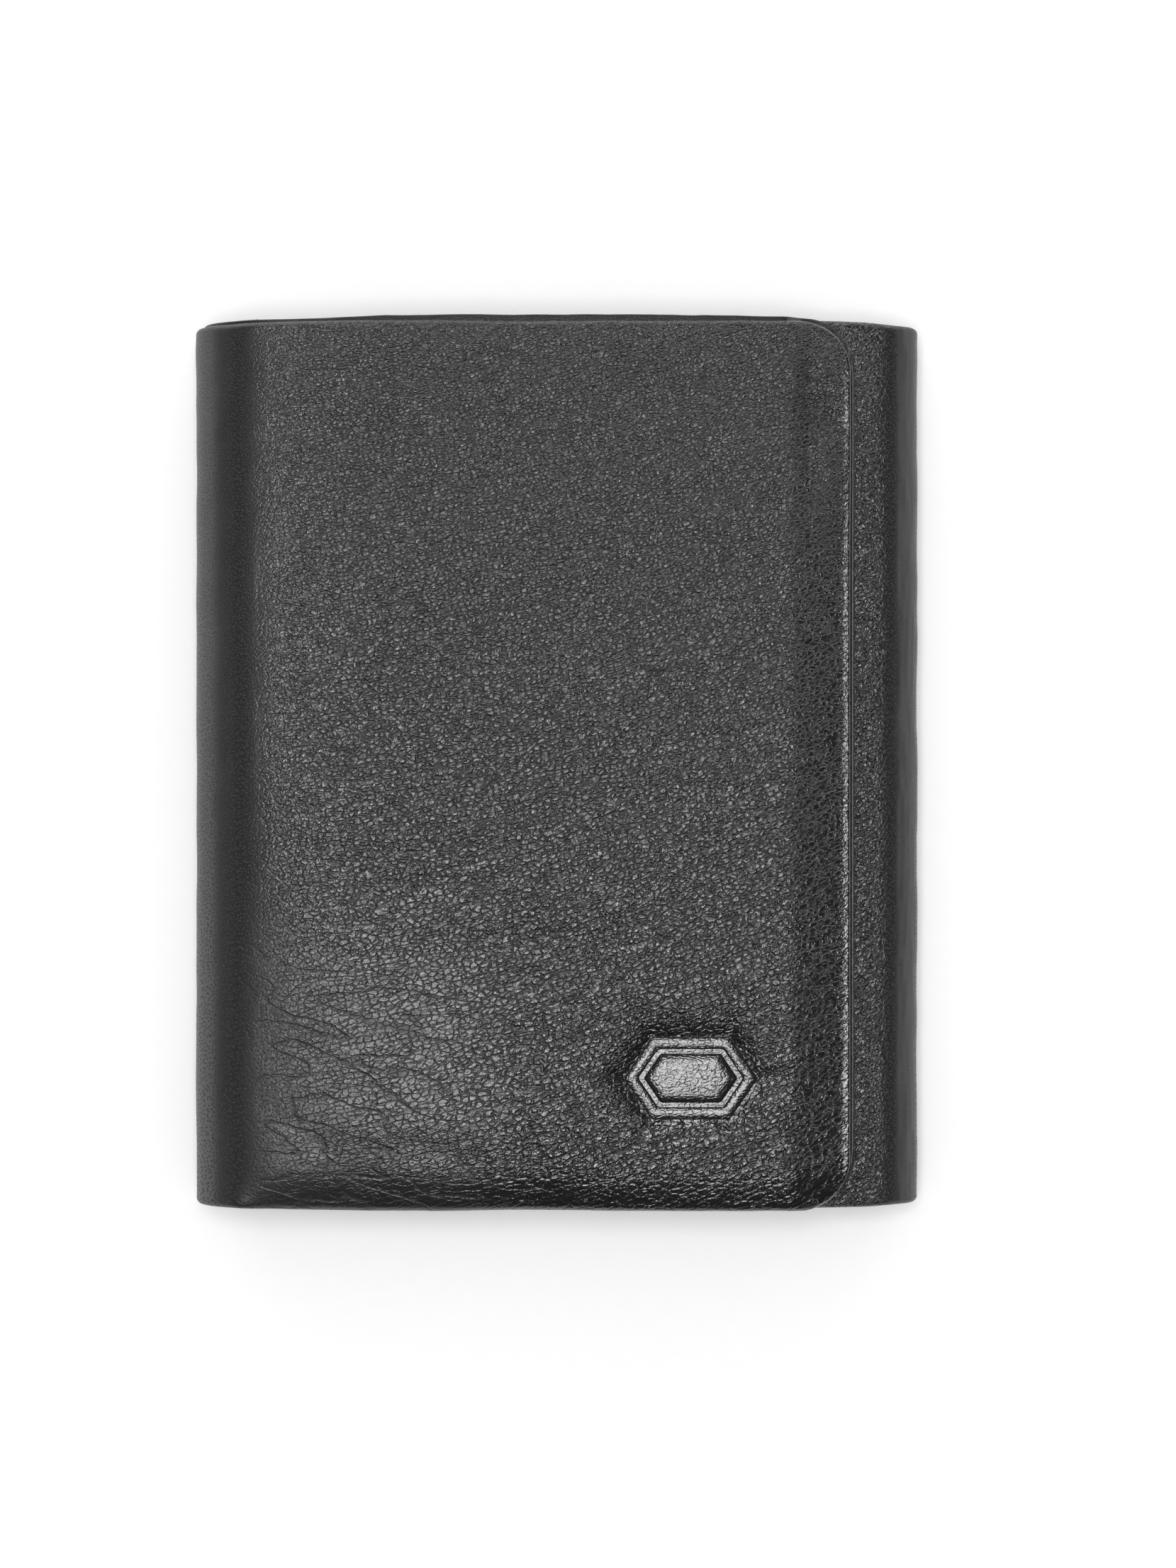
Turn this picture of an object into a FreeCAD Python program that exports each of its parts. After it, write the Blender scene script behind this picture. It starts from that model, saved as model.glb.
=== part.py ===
"""Bifold leather wallet, closed and lying on its back, as a parametric FreeCAD document.

The wallet stands in its own frame: X across the closed wallet, Y along the fold towards the open
end of the pockets, Z up from the surface that the wallet lies on. The origin is the middle of the
back face. The body leaf lies below; its outer leather turns up round the right-hand side and is
skived in beside the card pockets. The front flap lies on top and hinges round the left-hand fold,
where the same leather bends over its whole half circle. The fold is cut into strips, each turned
about a line on the leather's outer face, so that the strips follow the leather from closed to flat.

Every expression below is text in the sheet's own aliases, in millimetres.
"""
import FreeCAD, Part

import math
import os
import re

import Sketcher

DIMENSIONS = (
    ("overall_width", 84, "closed width, fold to wrapped side"),
    ("overall_height", 102, "length of the fold"),
    ("shell_leather", 1.1, "outer leather"),
    ("board", 0.4, "stiffening board in the back"),
    ("cloth", 0.3, "cloth lining of the bill pocket"),
    ("bill_gap", 4.5, "room for folded banknotes"),
    ("backing", 0.4, "sheet behind the card pockets"),
    ("pocket_leather", 0.5, "thin leather of one card pocket"),
    ("card_gap", 0.8, "room for one card of 0.76"),
    ("leaf_gap", 0.3, "air between the closed leaves"),
    ("window_film", 0.2, "clear film of the identity window"),
    ("lining_leather", 0.5, "leather lining of the flap and fold"),
    ("padding", 0.3, "padding board in the flap"),
    ("hem_turn", 0.7, "skived leather turned under at the flap's edge"),
    ("strip_gap", 0.15, "cut between two fold strips"),
    ("fold_turns", 4, "bending lines across the fold"),
    ("pocket_width", 60, "card pockets, seam to seam"),
    ("seam_width", 2.5, "sewn margin of a card pocket"),
    ("pocket_inset", 1, "card pockets in from the fold's tangent"),
    ("pocket_base", 48, "bottom of the card pockets, below the middle"),
    ("mouth_height", 40, "mouth of the rearmost pocket, above the middle"),
    ("mouth_step", 6.5, "each mouth below the one behind it"),
    ("tab_depth", 15, "sewn side tabs of a T-shaped pocket"),
    ("pocket_rise", 4, "each T-shaped pocket's bottom above the one in front"),
    ("thumb_radius", 9, "thumb notch in a mouth"),
    ("groove_width", 0.8, "stitch groove"),
    ("groove_depth", 0.3, "stitch groove"),
    ("groove_inset", 1.3, "stitch line in from the pocket's edge"),
    ("stitch_pitch", 3.2, "from one stitch to the next"),
    ("stitch_length", 2.5, "visible stitch"),
    ("stitch_width", 0.5, "thread"),
    ("gusset", 0.6, "leather closing the bill pocket"),
    ("end_margin", 1.4, "bottom gusset in from the leather's edge"),
    ("flap_short", 8.9, "flap's edge short of the wrapped side"),
    ("hem_width", 4.2, "flat hem along the flap's edge"),
    ("drape_width", 3, "slope between the padded flap and its hem"),
    ("lining_proud", 0.4, "lining standing proud of the flap's leather"),
    ("flap_corner", 6, "corner radius of the flap"),
    ("flap_pocket_width", 58.4, "flap pockets, seam to seam"),
    ("flap_seam", 1.8, "sewn margin of a flap pocket"),
    ("flap_pocket_inset", 0.7, "flap pockets in from the fold's tangent"),
    ("window_width", 45, "identity window"),
    ("window_height", 64, "identity window"),
    ("window_drop", 5, "top of the window below the pocket's mouth"),
    ("film_margin", 2, "film's glued margin round the window"),
    ("emblem_x", 15.2, "centre of the raised plaque"),
    ("emblem_y", -35.9, "centre of the raised plaque"),
    ("emblem_width", 15.3, "point to point"),
    ("emblem_height", 9.4, "flat to flat"),
    ("emblem_point", 3.2, "length of each pointed end"),
    ("moat_width", 1.1, "pressed ring round the plaque"),
    ("moat_depth", 0.5, "pressed ring round the plaque"),
)
ALIASES = {alias for alias, _, _ in DIMENSIONS}

# Levels in the body leaf, upwards from the back face.
LINING_Z = "(shell_leather + board)"
BILL_Z = f"({LINING_Z} + cloth)"
BACKING_Z = f"({BILL_Z} + bill_gap)"
POCKETS_Z = f"({BACKING_Z} + backing)"
POCKET_PITCH = "(card_gap + pocket_leather)"
BODY_POCKETS = 3
FACE_Z = f"({POCKETS_Z} + {BODY_POCKETS} * {POCKET_PITCH})"

# Levels in the closed flap, upwards from its inner face.
FLAP_Z = f"({FACE_Z} + leaf_gap)"
FILM_Z = f"({FLAP_Z} + pocket_leather)"
SLIP_Z = f"({FILM_Z} + window_film + card_gap)"
FLAP_LINING_Z = f"({SLIP_Z} + pocket_leather + card_gap)"
PADDING_Z = f"({FLAP_LINING_Z} + lining_leather)"
FLAP_LEATHER_Z = f"({PADDING_Z} + padding)"
TOP_Z = f"({FLAP_LEATHER_Z} + shell_leather)"
HEM_TOP_Z = f"({FLAP_Z} + lining_leather + hem_turn + shell_leather)"

# The two round sides.
FOLD_R = f"({TOP_Z} / 2)"
FOLD_X = f"(-overall_width / 2 + {FOLD_R})"
WRAP_R = f"({FACE_Z} / 2)"
WRAP_X = f"(overall_width / 2 - {WRAP_R})"
HALF_HEIGHT = "(overall_height / 2)"

# Card pockets of the body leaf, and of the flap.
POCKET_LEFT = f"({FOLD_X} + pocket_inset)"
POCKET_RIGHT = f"({POCKET_LEFT} + pocket_width)"
BILL_LEFT = f"({POCKET_LEFT} + gusset)"
STRIP_LEFT = f"({POCKET_RIGHT} + strip_gap)"
STRIP_Z = f"({FACE_Z} - shell_leather)"
WELT_RIGHT = f"({STRIP_LEFT} + seam_width)"
LEAF_ENDS = (f"(-{HALF_HEIGHT} + end_margin)", f"({HALF_HEIGHT} - end_margin)")
FLAP_POCKET_LEFT = f"({FOLD_X} + flap_pocket_inset)"
FLAP_POCKET_RIGHT = f"({FLAP_POCKET_LEFT} + flap_pocket_width)"

# The flap's free edge.
FLAP_EDGE = "(overall_width / 2 - flap_short)"
HEM_START = f"({FLAP_EDGE} - hem_width)"
DRAPE_START = f"({HEM_START} - drape_width)"

doc = FreeCAD.newDocument("wallet")
sheet = doc.addObject("Spreadsheet::Sheet", "dims")
made = []


def fill_sheet():
    """Writes each driving dimension as text, with its alias and what it is."""
    for row, (alias, number, note) in enumerate(DIMENSIONS, start=1):
        sheet.set(f"A{row}", alias)
        sheet.set(f"B{row}", str(number))
        sheet.setAlias(f"B{row}", alias)
        sheet.set(f"C{row}", note)
    doc.recompute()


def cells(text):
    """The expression with each alias turned into a reference to its cell."""
    return re.sub(r"[a-z_]+", lambda m: "dims." + m[0] if m[0] in ALIASES else m[0], str(text))


def number(text):
    """The expression's value in millimetres."""
    found = sheet.evalExpression(cells(text))
    return float(getattr(found, "Value", found))


def bind(item, **properties):
    """Binds each property to an expression; a double underscore stands for a dot."""
    for name, text in properties.items():
        item.setExpression(name.replace("__", "."), cells(text))


def keep(item, label):
    """Names an object as one of the wallet's pieces."""
    item.Label = label
    made.append(item)
    return item


def box(name, x, y, z):
    """A block between pairs of expressions along each axis."""
    block = doc.addObject("Part::Box", name)
    bind(block, Length=f"{x[1]} - {x[0]}", Width=f"{y[1]} - {y[0]}", Height=f"{z[1]} - {z[0]}")
    bind(block, Placement__Base__x=x[0], Placement__Base__y=y[0], Placement__Base__z=z[0])
    return block


def round_bar(name, centre, radius, start, sweep):
    """A sector of a bar along Y, as long as the wallet. Angles run from +X towards +Z."""
    bar = doc.addObject("Part::Cylinder", name)
    upright = FreeCAD.Rotation(FreeCAD.Vector(1, 0, 0), 90)
    bar.Placement.Rotation = upright.multiply(FreeCAD.Rotation(FreeCAD.Vector(0, 0, 1), start))
    bar.Angle = sweep
    bind(bar, Radius=radius, Height="overall_height")
    bind(bar, Placement__Base__x=centre[0], Placement__Base__y=HALF_HEIGHT)
    bind(bar, Placement__Base__z=centre[1])
    return bar


def bent_sheet(name, centre, outer, thickness, start, sweep):
    """A sheet bent round a centre line along Y, cut from a sector of a bar."""
    bent = doc.addObject("Part::Cut", name)
    bent.Base = round_bar(name + "_outside", centre, outer, start, sweep)
    bent.Tool = round_bar(name + "_inside", centre, f"{outer} - {thickness}", 0, 360)
    return bent


def joined(name, *shapes):
    """Several shapes as one solid."""
    whole = doc.addObject("Part::MultiFuse", name)
    whole.Shapes = list(shapes)
    whole.Refine = True
    return whole


def plane_of(body, role):
    """The body's own origin plane with that role."""
    return next(f for f in body.Origin.OriginFeatures if f.Role == role)


def draw_polygon(sketch, points):
    """A closed polygon whose corners are pinned to expressions."""
    first = sketch.GeometryCount
    corners = [FreeCAD.Vector(number(x), number(y), 0) for x, y in points]
    for corner, following in zip(corners, corners[1:] + corners[:1]):
        sketch.addGeometry(Part.LineSegment(corner, following), False)
    for i, (x, y) in enumerate(points):
        line = first + i
        before = first + (i - 1) % len(points)
        sketch.addConstraint(Sketcher.Constraint("Coincident", before, 2, line, 1))
        for kind, text in (("DistanceX", x), ("DistanceY", y)):
            pin = sketch.addConstraint(Sketcher.Constraint(kind, -1, 1, line, 1, number(text)))
            sketch.setExpression(f"Constraints[{pin}]", cells(text))


def draw_circle(sketch, x, y, radius):
    """A circle whose centre and radius are pinned to expressions."""
    place = FreeCAD.Vector(number(x), number(y), 0)
    up = FreeCAD.Vector(0, 0, 1)
    ring = sketch.addGeometry(Part.Circle(place, up, number(radius)), False)
    for kind, text in (("DistanceX", x), ("DistanceY", y)):
        pin = sketch.addConstraint(Sketcher.Constraint(kind, -1, 1, ring, 3, number(text)))
        sketch.setExpression(f"Constraints[{pin}]", cells(text))
    pin = sketch.addConstraint(Sketcher.Constraint("Radius", ring, number(radius)))
    sketch.setExpression(f"Constraints[{pin}]", cells(radius))


def new_sketch(body, name, role, height="0"):
    """An empty sketch on one of the body's origin planes, raised by an expression."""
    sketch = body.newObject("Sketcher::SketchObject", name)
    sketch.AttachmentSupport = (plane_of(body, role), [""])
    sketch.MapMode = "FlatFace"
    bind(sketch, AttachmentOffset__Base__z=height)
    return sketch


def pad(body, sketch, name, length, midplane=False):
    """Pads a sketch by an expression."""
    grown = body.newObject("PartDesign::Pad", name)
    grown.Profile = sketch
    grown.Midplane = midplane
    bind(grown, Length=length)
    doc.recompute()
    return grown


def pocket(body, sketch, name, depth):
    """Cuts a sketch into the body by an expression, and checks that it removed something."""
    before = body.Shape.Volume
    cut = body.newObject("PartDesign::Pocket", name)
    cut.Profile = sketch
    bind(cut, Length=depth)
    doc.recompute()
    if body.Shape.Volume >= before:
        raise RuntimeError(f"{name} removed nothing")
    return cut


def slab(name, points, height, thickness):
    """A flat sheet with a polygon outline, as a body with one pad."""
    body = doc.addObject("PartDesign::Body", name)
    sketch = new_sketch(body, name + "_outline", "XY_Plane", height)
    draw_polygon(sketch, points)
    pad(body, sketch, name + "_pad", thickness)
    return body


def corners_of(x, y):
    """The four corners of a rectangle between pairs of expressions."""
    return [(x[0], y[0]), (x[1], y[0]), (x[1], y[1]), (x[0], y[1])]


def cut_thumb_notch(body, name, x, mouth, top):
    """A shallow round notch in a pocket's mouth, cut downwards from its upper face."""
    sketch = new_sketch(body, name + "_notch_outline", "XY_Plane", top)
    draw_circle(sketch, x, f"({mouth} + thumb_radius * 0.55)", "thumb_radius")
    pocket(body, sketch, name + "_notch", "pocket_leather")


def u_outline(left, right, bottom, top, width):
    """A U open at the top: a band of that width round three sides, on the inside."""
    return [
        (left, top), (left, bottom), (right, bottom), (right, top),
        (f"({right} - {width})", top), (f"({right} - {width})", f"({bottom} + {width})"),
        (f"({left} + {width})", f"({bottom} + {width})"), (f"({left} + {width})", top),
    ]


def cut_stitch_groove(body, name, left, right, mouth, top):
    """A groove for the thread round three sides of a pocket, below the mouth."""
    sketch = new_sketch(body, name + "_groove_outline", "XY_Plane", top)
    edge = "(groove_inset - groove_width / 2)"
    outline = u_outline(
        f"({left} + {edge})", f"({right} - {edge})", f"(-pocket_base + {edge})",
        f"({mouth} - groove_inset)", "groove_width",
    )
    draw_polygon(sketch, outline)
    pocket(body, sketch, name + "_groove", "groove_depth")


def stitches(label, left, right, mouth, floor_z):
    """Short thread pieces end to end in a pocket's stitch groove, as separate solids."""
    pitch, length, width = (number(n) for n in ("stitch_pitch", "stitch_length", "stitch_width"))
    x_left, x_right = number(f"{left} + groove_inset"), number(f"{right} - groove_inset")
    y_low, y_high = number("-pocket_base + groove_inset"), number(f"{mouth} - groove_inset")
    z, thick = number(floor_z), number("groove_depth")
    threads = []
    rows = int((y_high - y_low - pitch) / pitch)
    for i in range(rows):
        y = y_low + pitch * (i + 0.75)
        for x in (x_left, x_right):
            corner = FreeCAD.Vector(x - width / 2, y, z)
            threads.append(Part.makeBox(width, length, thick, corner))
    for i in range(int((x_right - x_left - pitch) / pitch)):
        corner = FreeCAD.Vector(x_left + pitch * (i + 0.75), y_low - width / 2, z)
        threads.append(Part.makeBox(length, width, thick, corner))
    group = doc.addObject("Part::Feature", label)
    group.Shape = Part.Compound(threads)
    return keep(group, label)


def welts(label, left, right, levels, seam):
    """The sewn margins that close each pocket at both sides and the bottom."""
    bars = []
    for i, (low, high, mouth, base) in enumerate(levels):
        z = (low, high)
        sides = (base, mouth)
        bars.append(box(f"{label}_{i}_left", (left, f"({left} + {seam})"), sides, z))
        bars.append(box(f"{label}_{i}_right", (f"({right} - {seam})", right), sides, z))
        inner = (f"({left} + {seam})", f"({right} - {seam})")
        bars.append(box(f"{label}_{i}_base", inner, (base, f"({base} + {seam})"), z))
    group = doc.addObject("Part::Compound", label)
    group.Links = bars
    return keep(group, label)


def body_leather():
    """Outer leather of the back, from the first bend of the fold round the wrapped side."""
    low = 270 - half_turn() + cut_angle()
    return keep(joined(
        "body_leather",
        box("back_sheet", (FOLD_X, WRAP_X), (f"(-{HALF_HEIGHT})", HALF_HEIGHT),
            ("0", "shell_leather")),
        box("turned_in_strip", (STRIP_LEFT, WRAP_X), (f"(-{HALF_HEIGHT})", HALF_HEIGHT),
            (STRIP_Z, FACE_Z)),
        bent_sheet("wrap", (WRAP_X, WRAP_R), WRAP_R, "shell_leather", -90, 180),
        bent_sheet("fold_start", (FOLD_X, FOLD_R), FOLD_R, "shell_leather", low, 270 - low),
    ), "body_leather")


def trimmed_ends(name, bent, y):
    """The part of a bent sheet or round bar at the wrapped side between two heights."""
    trimmed = doc.addObject("Part::Common", name)
    trimmed.Base = bent
    trimmed.Tool = box(name + "_trim", (WRAP_X, "overall_width"), y, ("0", FACE_Z))
    return trimmed


def body_lining():
    """Cloth inside the bill pocket, from the side gusset round to the turned-in leather."""
    inside = f"({WRAP_R} - {LINING_Z})"
    bend = bent_sheet("lining_bend", (WRAP_X, WRAP_R), inside, "cloth", -90, 180)
    return keep(joined(
        "body_lining",
        box("lining_sheet", (BILL_LEFT, WRAP_X), LEAF_ENDS, (LINING_Z, BILL_Z)),
        trimmed_ends("lining_round", bend, LEAF_ENDS),
    ), "body_lining")


def bottom_gusset():
    """Leather end wall that closes the bill pocket's bottom and the end of the wrapped side."""
    y = (f"({LEAF_ENDS[0]} - gusset)", LEAF_ENDS[0])
    inside = f"({WRAP_R} - shell_leather)"
    bar = round_bar("gusset_bar", (WRAP_X, WRAP_R), inside, -90, 180)
    return keep(joined(
        "bottom_gusset",
        box("gusset_low", (POCKET_LEFT, WRAP_X), y, ("shell_leather", BACKING_Z)),
        box("gusset_high", (STRIP_LEFT, WRAP_X), y, (BACKING_Z, STRIP_Z)),
        trimmed_ends("gusset_round", bar, y),
    ), "bottom_gusset")


def side_gusset():
    """Leather that lines the fold's first bend and turns up to close the bill pocket's side."""
    start = 270 - half_turn() + cut_angle()
    inside = f"({FOLD_R} - shell_leather)"
    foot = ("shell_leather", "(shell_leather + lining_leather)")
    return keep(joined(
        "side_gusset",
        bent_sheet("gusset_bend", (FOLD_X, FOLD_R), inside, "lining_leather", start, 270 - start),
        box("gusset_foot", (FOLD_X, POCKET_LEFT), (f"(-{HALF_HEIGHT})", HALF_HEIGHT), foot),
        box("gusset_wall", (POCKET_LEFT, BILL_LEFT), LEAF_ENDS, ("shell_leather", BACKING_Z)),
    ), "side_gusset")


def bill_pocket_pieces():
    """What stands between the back leather and the card pockets."""
    board_z = ("shell_leather", LINING_Z)
    keep(box("back_board", (BILL_LEFT, WRAP_X), LEAF_ENDS, board_z), "back_board")
    body_lining()
    bottom_gusset()
    side_gusset()
    backing_z = (BACKING_Z, POCKETS_Z)
    keep(box("pocket_backing", (POCKET_LEFT, WELT_RIGHT), LEAF_ENDS, backing_z), "pocket_backing")
    welt_y = ("(-pocket_base)", "mouth_height")
    welt_z = (POCKETS_Z, STRIP_Z)
    keep(box("wrap_welt", (STRIP_LEFT, WELT_RIGHT), welt_y, welt_z), "wrap_welt")


def body_mouth(i):
    """Height of a body pocket's mouth, counted from the rearmost."""
    return f"(mouth_height - {i} * mouth_step)"


def t_pocket(label, i):
    """A card pocket behind another one: full width at its sewn tabs, narrower below them."""
    low = f"({POCKETS_Z} + {i} * {POCKET_PITCH} + card_gap)"
    mouth = body_mouth(i)
    tab = f"({mouth} - tab_depth)"
    base = f"(-pocket_base + {BODY_POCKETS - 1 - i} * pocket_rise)"
    stem = (f"({POCKET_LEFT} + seam_width)", f"({POCKET_RIGHT} - seam_width)")
    outline = [
        (POCKET_LEFT, mouth), (POCKET_LEFT, tab), (stem[0], tab), (stem[0], base),
        (stem[1], base), (stem[1], tab), (POCKET_RIGHT, tab), (POCKET_RIGHT, mouth),
    ]
    return keep(slab(label, outline, low, "pocket_leather"), label)


def front_card_pocket():
    """The card pocket that shows whole, with its thumb notch and stitch groove."""
    label = "card_pocket_front"
    mouth = body_mouth(BODY_POCKETS - 1)
    low = f"({FACE_Z} - pocket_leather)"
    outline = corners_of((POCKET_LEFT, POCKET_RIGHT), ("(-pocket_base)", mouth))
    body = slab(label, outline, low, "pocket_leather")
    middle = f"(({POCKET_LEFT} + {POCKET_RIGHT}) / 2)"
    cut_thumb_notch(body, label, middle, mouth, FACE_Z)
    cut_stitch_groove(body, label, POCKET_LEFT, POCKET_RIGHT, mouth, FACE_Z)
    return keep(body, label)


def card_pockets():
    """Three stepped card pockets, their sewn margins and their thread."""
    t_pocket("card_pocket_rear", 0)
    t_pocket("card_pocket_middle", 1)
    front_card_pocket()
    levels = []
    for i in range(BODY_POCKETS):
        low = f"({POCKETS_Z} + {i} * {POCKET_PITCH})"
        levels.append((low, f"({low} + card_gap)", body_mouth(i), "(-pocket_base)"))
    welts("card_pocket_welts", POCKET_LEFT, POCKET_RIGHT, levels, "seam_width")
    floor_z = f"({FACE_Z} - groove_depth)"
    stitches("body_stitches", POCKET_LEFT, POCKET_RIGHT, body_mouth(BODY_POCKETS - 1), floor_z)


def half_turn():
    """Degrees from the fold's start to its first bending line."""
    return 90 / number("fold_turns")


def cut_angle():
    """Half of the cut between two strips, in degrees round the fold."""
    return math.degrees(number(f"strip_gap / 2 / {FOLD_R}"))


def fold_strips():
    """Leather and lining of each strip between two bending lines of the fold."""
    turn = 2 * half_turn()
    for i, place in enumerate(("lower", "middle", "upper")):
        start = 270 - half_turn() - (i + 1) * turn + cut_angle()
        sweep = turn - 2 * cut_angle()
        centre = (FOLD_X, FOLD_R)
        leather = f"fold_leather_{place}"
        keep(bent_sheet(leather, centre, FOLD_R, "shell_leather", start, sweep), leather)
        lining = f"fold_lining_{place}"
        inside = f"({FOLD_R} - shell_leather)"
        keep(bent_sheet(lining, centre, inside, "lining_leather", start, sweep), lining)


def draped_body(name, proud, inward, low, thick, hem_low, hem_top):
    """A sheet of the flap that runs level and then drapes down to the hem."""
    body = doc.addObject("PartDesign::Body", name)
    sketch = new_sketch(body, name + "_profile", "XZ_Plane")
    edge = f"({FLAP_EDGE} + {proud})"
    high = f"({low} + {thick})"
    outward = f"({thick} / 2 - {inward})"
    draw_polygon(sketch, [
        (FOLD_X, high), (f"({DRAPE_START} + {outward})", high),
        (f"({HEM_START} + {outward})", hem_top), (edge, hem_top),
        (edge, hem_low), (f"({HEM_START} - {inward})", hem_low),
        (f"({DRAPE_START} - {inward})", low), (FOLD_X, low),
    ])
    pad(body, sketch, name + "_sheet", f"(overall_height + 2 * {proud})", midplane=True)
    return body


def round_free_corners(name, sheet_body, proud):
    """The sheet with its two corners at the flap's free edge rounded."""
    half = f"({HALF_HEIGHT} + {proud})"
    outline = corners_of((FOLD_X, f"({FLAP_EDGE} + {proud})"), (f"(-{half})", half))
    rounded = slab(name + "_rounded", outline, FLAP_Z, "overall_height")
    block = rounded.Tip
    edge_x = number(f"{FLAP_EDGE} + {proud}")
    found = []
    for i, edge in enumerate(block.Shape.Edges, start=1):
        first, last = (v.Point for v in edge.Vertexes)
        if abs(first.z - last.z) > 1 and abs(first.x - edge_x) < 1e-6:
            found.append(f"Edge{i}")
    fillet = rounded.newObject("PartDesign::Fillet", name + "_corners")
    fillet.Base = (block, found)
    bind(fillet, Radius=f"flap_corner + {proud}")
    trimmed = doc.addObject("Part::Common", name)
    trimmed.Base = sheet_body
    trimmed.Tool = rounded
    return trimmed


def plaque_outline(grow):
    """A long hexagon with its points left and right, grown by an expression on every side."""
    half_width = f"(emblem_width / 2 + {grow})"
    shoulder = f"(emblem_width / 2 - emblem_point + {grow} / 2)"
    half_height = f"(emblem_height / 2 + {grow})"
    return [
        (f"(emblem_x - {half_width})", "emblem_y"),
        (f"(emblem_x - {shoulder})", f"(emblem_y - {half_height})"),
        (f"(emblem_x + {shoulder})", f"(emblem_y - {half_height})"),
        (f"(emblem_x + {half_width})", "emblem_y"),
        (f"(emblem_x + {shoulder})", f"(emblem_y + {half_height})"),
        (f"(emblem_x - {shoulder})", f"(emblem_y + {half_height})"),
    ]


def flap_leather():
    """Outer leather of the flap, with the ring pressed round its plain raised plaque."""
    hem_low = f"({FLAP_Z} + lining_leather)"
    sheet_body = draped_body(
        "flap_profile", "0", "0", FLAP_LEATHER_Z, "shell_leather", hem_low, HEM_TOP_Z
    )
    ring = new_sketch(sheet_body, "plaque_ring", "XY_Plane", TOP_Z)
    draw_polygon(ring, plaque_outline("moat_width"))
    draw_polygon(ring, plaque_outline("0"))
    pocket(sheet_body, ring, "plaque_moat", "moat_depth")
    sweep = half_turn() - cut_angle()
    end = bent_sheet("fold_end", (FOLD_X, FOLD_R), FOLD_R, "shell_leather", 90, sweep)
    rounded = round_free_corners("flap_sheet", sheet_body, "0")
    return keep(joined("flap_leather", rounded, end), "flap_leather")


def flap_lining():
    """Leather lining of the flap, a little proud of the outer leather, and of the last bend."""
    hem_top = f"({FLAP_Z} + lining_leather)"
    sheet_body = draped_body(
        "lining_profile", "lining_proud", "lining_leather / 2", FLAP_LINING_Z, "lining_leather",
        FLAP_Z, hem_top,
    )
    rounded = round_free_corners("lining_sheet", sheet_body, "lining_proud")
    inside = f"({FOLD_R} - shell_leather)"
    sweep = half_turn() - cut_angle()
    end = bent_sheet("lining_end", (FOLD_X, FOLD_R), inside, "lining_leather", 90, sweep)
    return keep(joined("flap_lining", rounded, end), "flap_lining")


def flap_padding():
    """Padding board under the flap's leather, and the plaque's insert in its cut-out."""
    ends = (f"(-{HALF_HEIGHT} + hem_width)", f"({HALF_HEIGHT} - hem_width)")
    x = (FOLD_X, f"({DRAPE_START} - shell_leather)")
    body = slab("flap_padding", corners_of(x, ends), PADDING_Z, "padding")
    hole = new_sketch(body, "plaque_hole_outline", "XY_Plane", FLAP_LEATHER_Z)
    draw_polygon(hole, plaque_outline("0.1"))
    pocket(body, hole, "plaque_hole", "padding")
    keep(body, "flap_padding")
    keep(slab("plaque_insert", plaque_outline("0"), PADDING_Z, "padding"), "plaque_insert")


def slip_pocket():
    """The flap's rear pocket, a plain sheet open at the top."""
    x = (FLAP_POCKET_LEFT, FLAP_POCKET_RIGHT)
    outline = corners_of(x, ("(-pocket_base)", "mouth_height"))
    return keep(slab("slip_pocket", outline, SLIP_Z, "pocket_leather"), "slip_pocket")


def window_mouth():
    """Height of the identity pocket's mouth."""
    return "(mouth_height - mouth_step)"


def identity_pocket():
    """The flap's front pocket: a leather frame with a clear film, a notch and a stitch groove."""
    label = "window_frame"
    mouth = window_mouth()
    x = (FLAP_POCKET_LEFT, FLAP_POCKET_RIGHT)
    body = slab(label, corners_of(x, ("(-pocket_base)", mouth)), FLAP_Z, "pocket_leather")
    middle = f"(({x[0]} + {x[1]}) / 2)"
    top = f"({mouth} - thumb_radius * 0.45 - window_drop)"
    wide = (f"({middle} - window_width / 2)", f"({middle} + window_width / 2)")
    tall = (f"({top} - window_height)", top)
    opening = new_sketch(body, "window_opening_outline", "XY_Plane", FILM_Z)
    draw_polygon(opening, corners_of(wide, tall))
    pocket(body, opening, "window_opening", "pocket_leather")
    cut_thumb_notch(body, label, middle, mouth, FILM_Z)
    floor_z = f"({FLAP_Z} + groove_depth)"
    cut_stitch_groove(body, label, x[0], x[1], mouth, floor_z)
    keep(body, label)
    film_x = (f"({wide[0]} - film_margin)", f"({wide[1]} + film_margin)")
    film_y = (f"({tall[0]} - film_margin)", f"({tall[1]} + film_margin)")
    film = slab("window_film", corners_of(film_x, film_y), FILM_Z, "window_film")
    keep(film, "window_film")


def flap_pockets():
    """The flap's two pockets, their sewn margins and their thread."""
    slip_pocket()
    identity_pocket()
    levels = [
        (FILM_Z, SLIP_Z, window_mouth(), "(-pocket_base)"),
        (f"({SLIP_Z} + pocket_leather)", FLAP_LINING_Z, "mouth_height", "(-pocket_base)"),
    ]
    welts("flap_pocket_welts", FLAP_POCKET_LEFT, FLAP_POCKET_RIGHT, levels, "flap_seam")
    stitches("flap_stitches", FLAP_POCKET_LEFT, FLAP_POCKET_RIGHT, window_mouth(), FLAP_Z)


def flap_pieces():
    """Everything that turns with the front flap."""
    flap_leather()
    flap_lining()
    flap_padding()
    flap_pockets()


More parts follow.
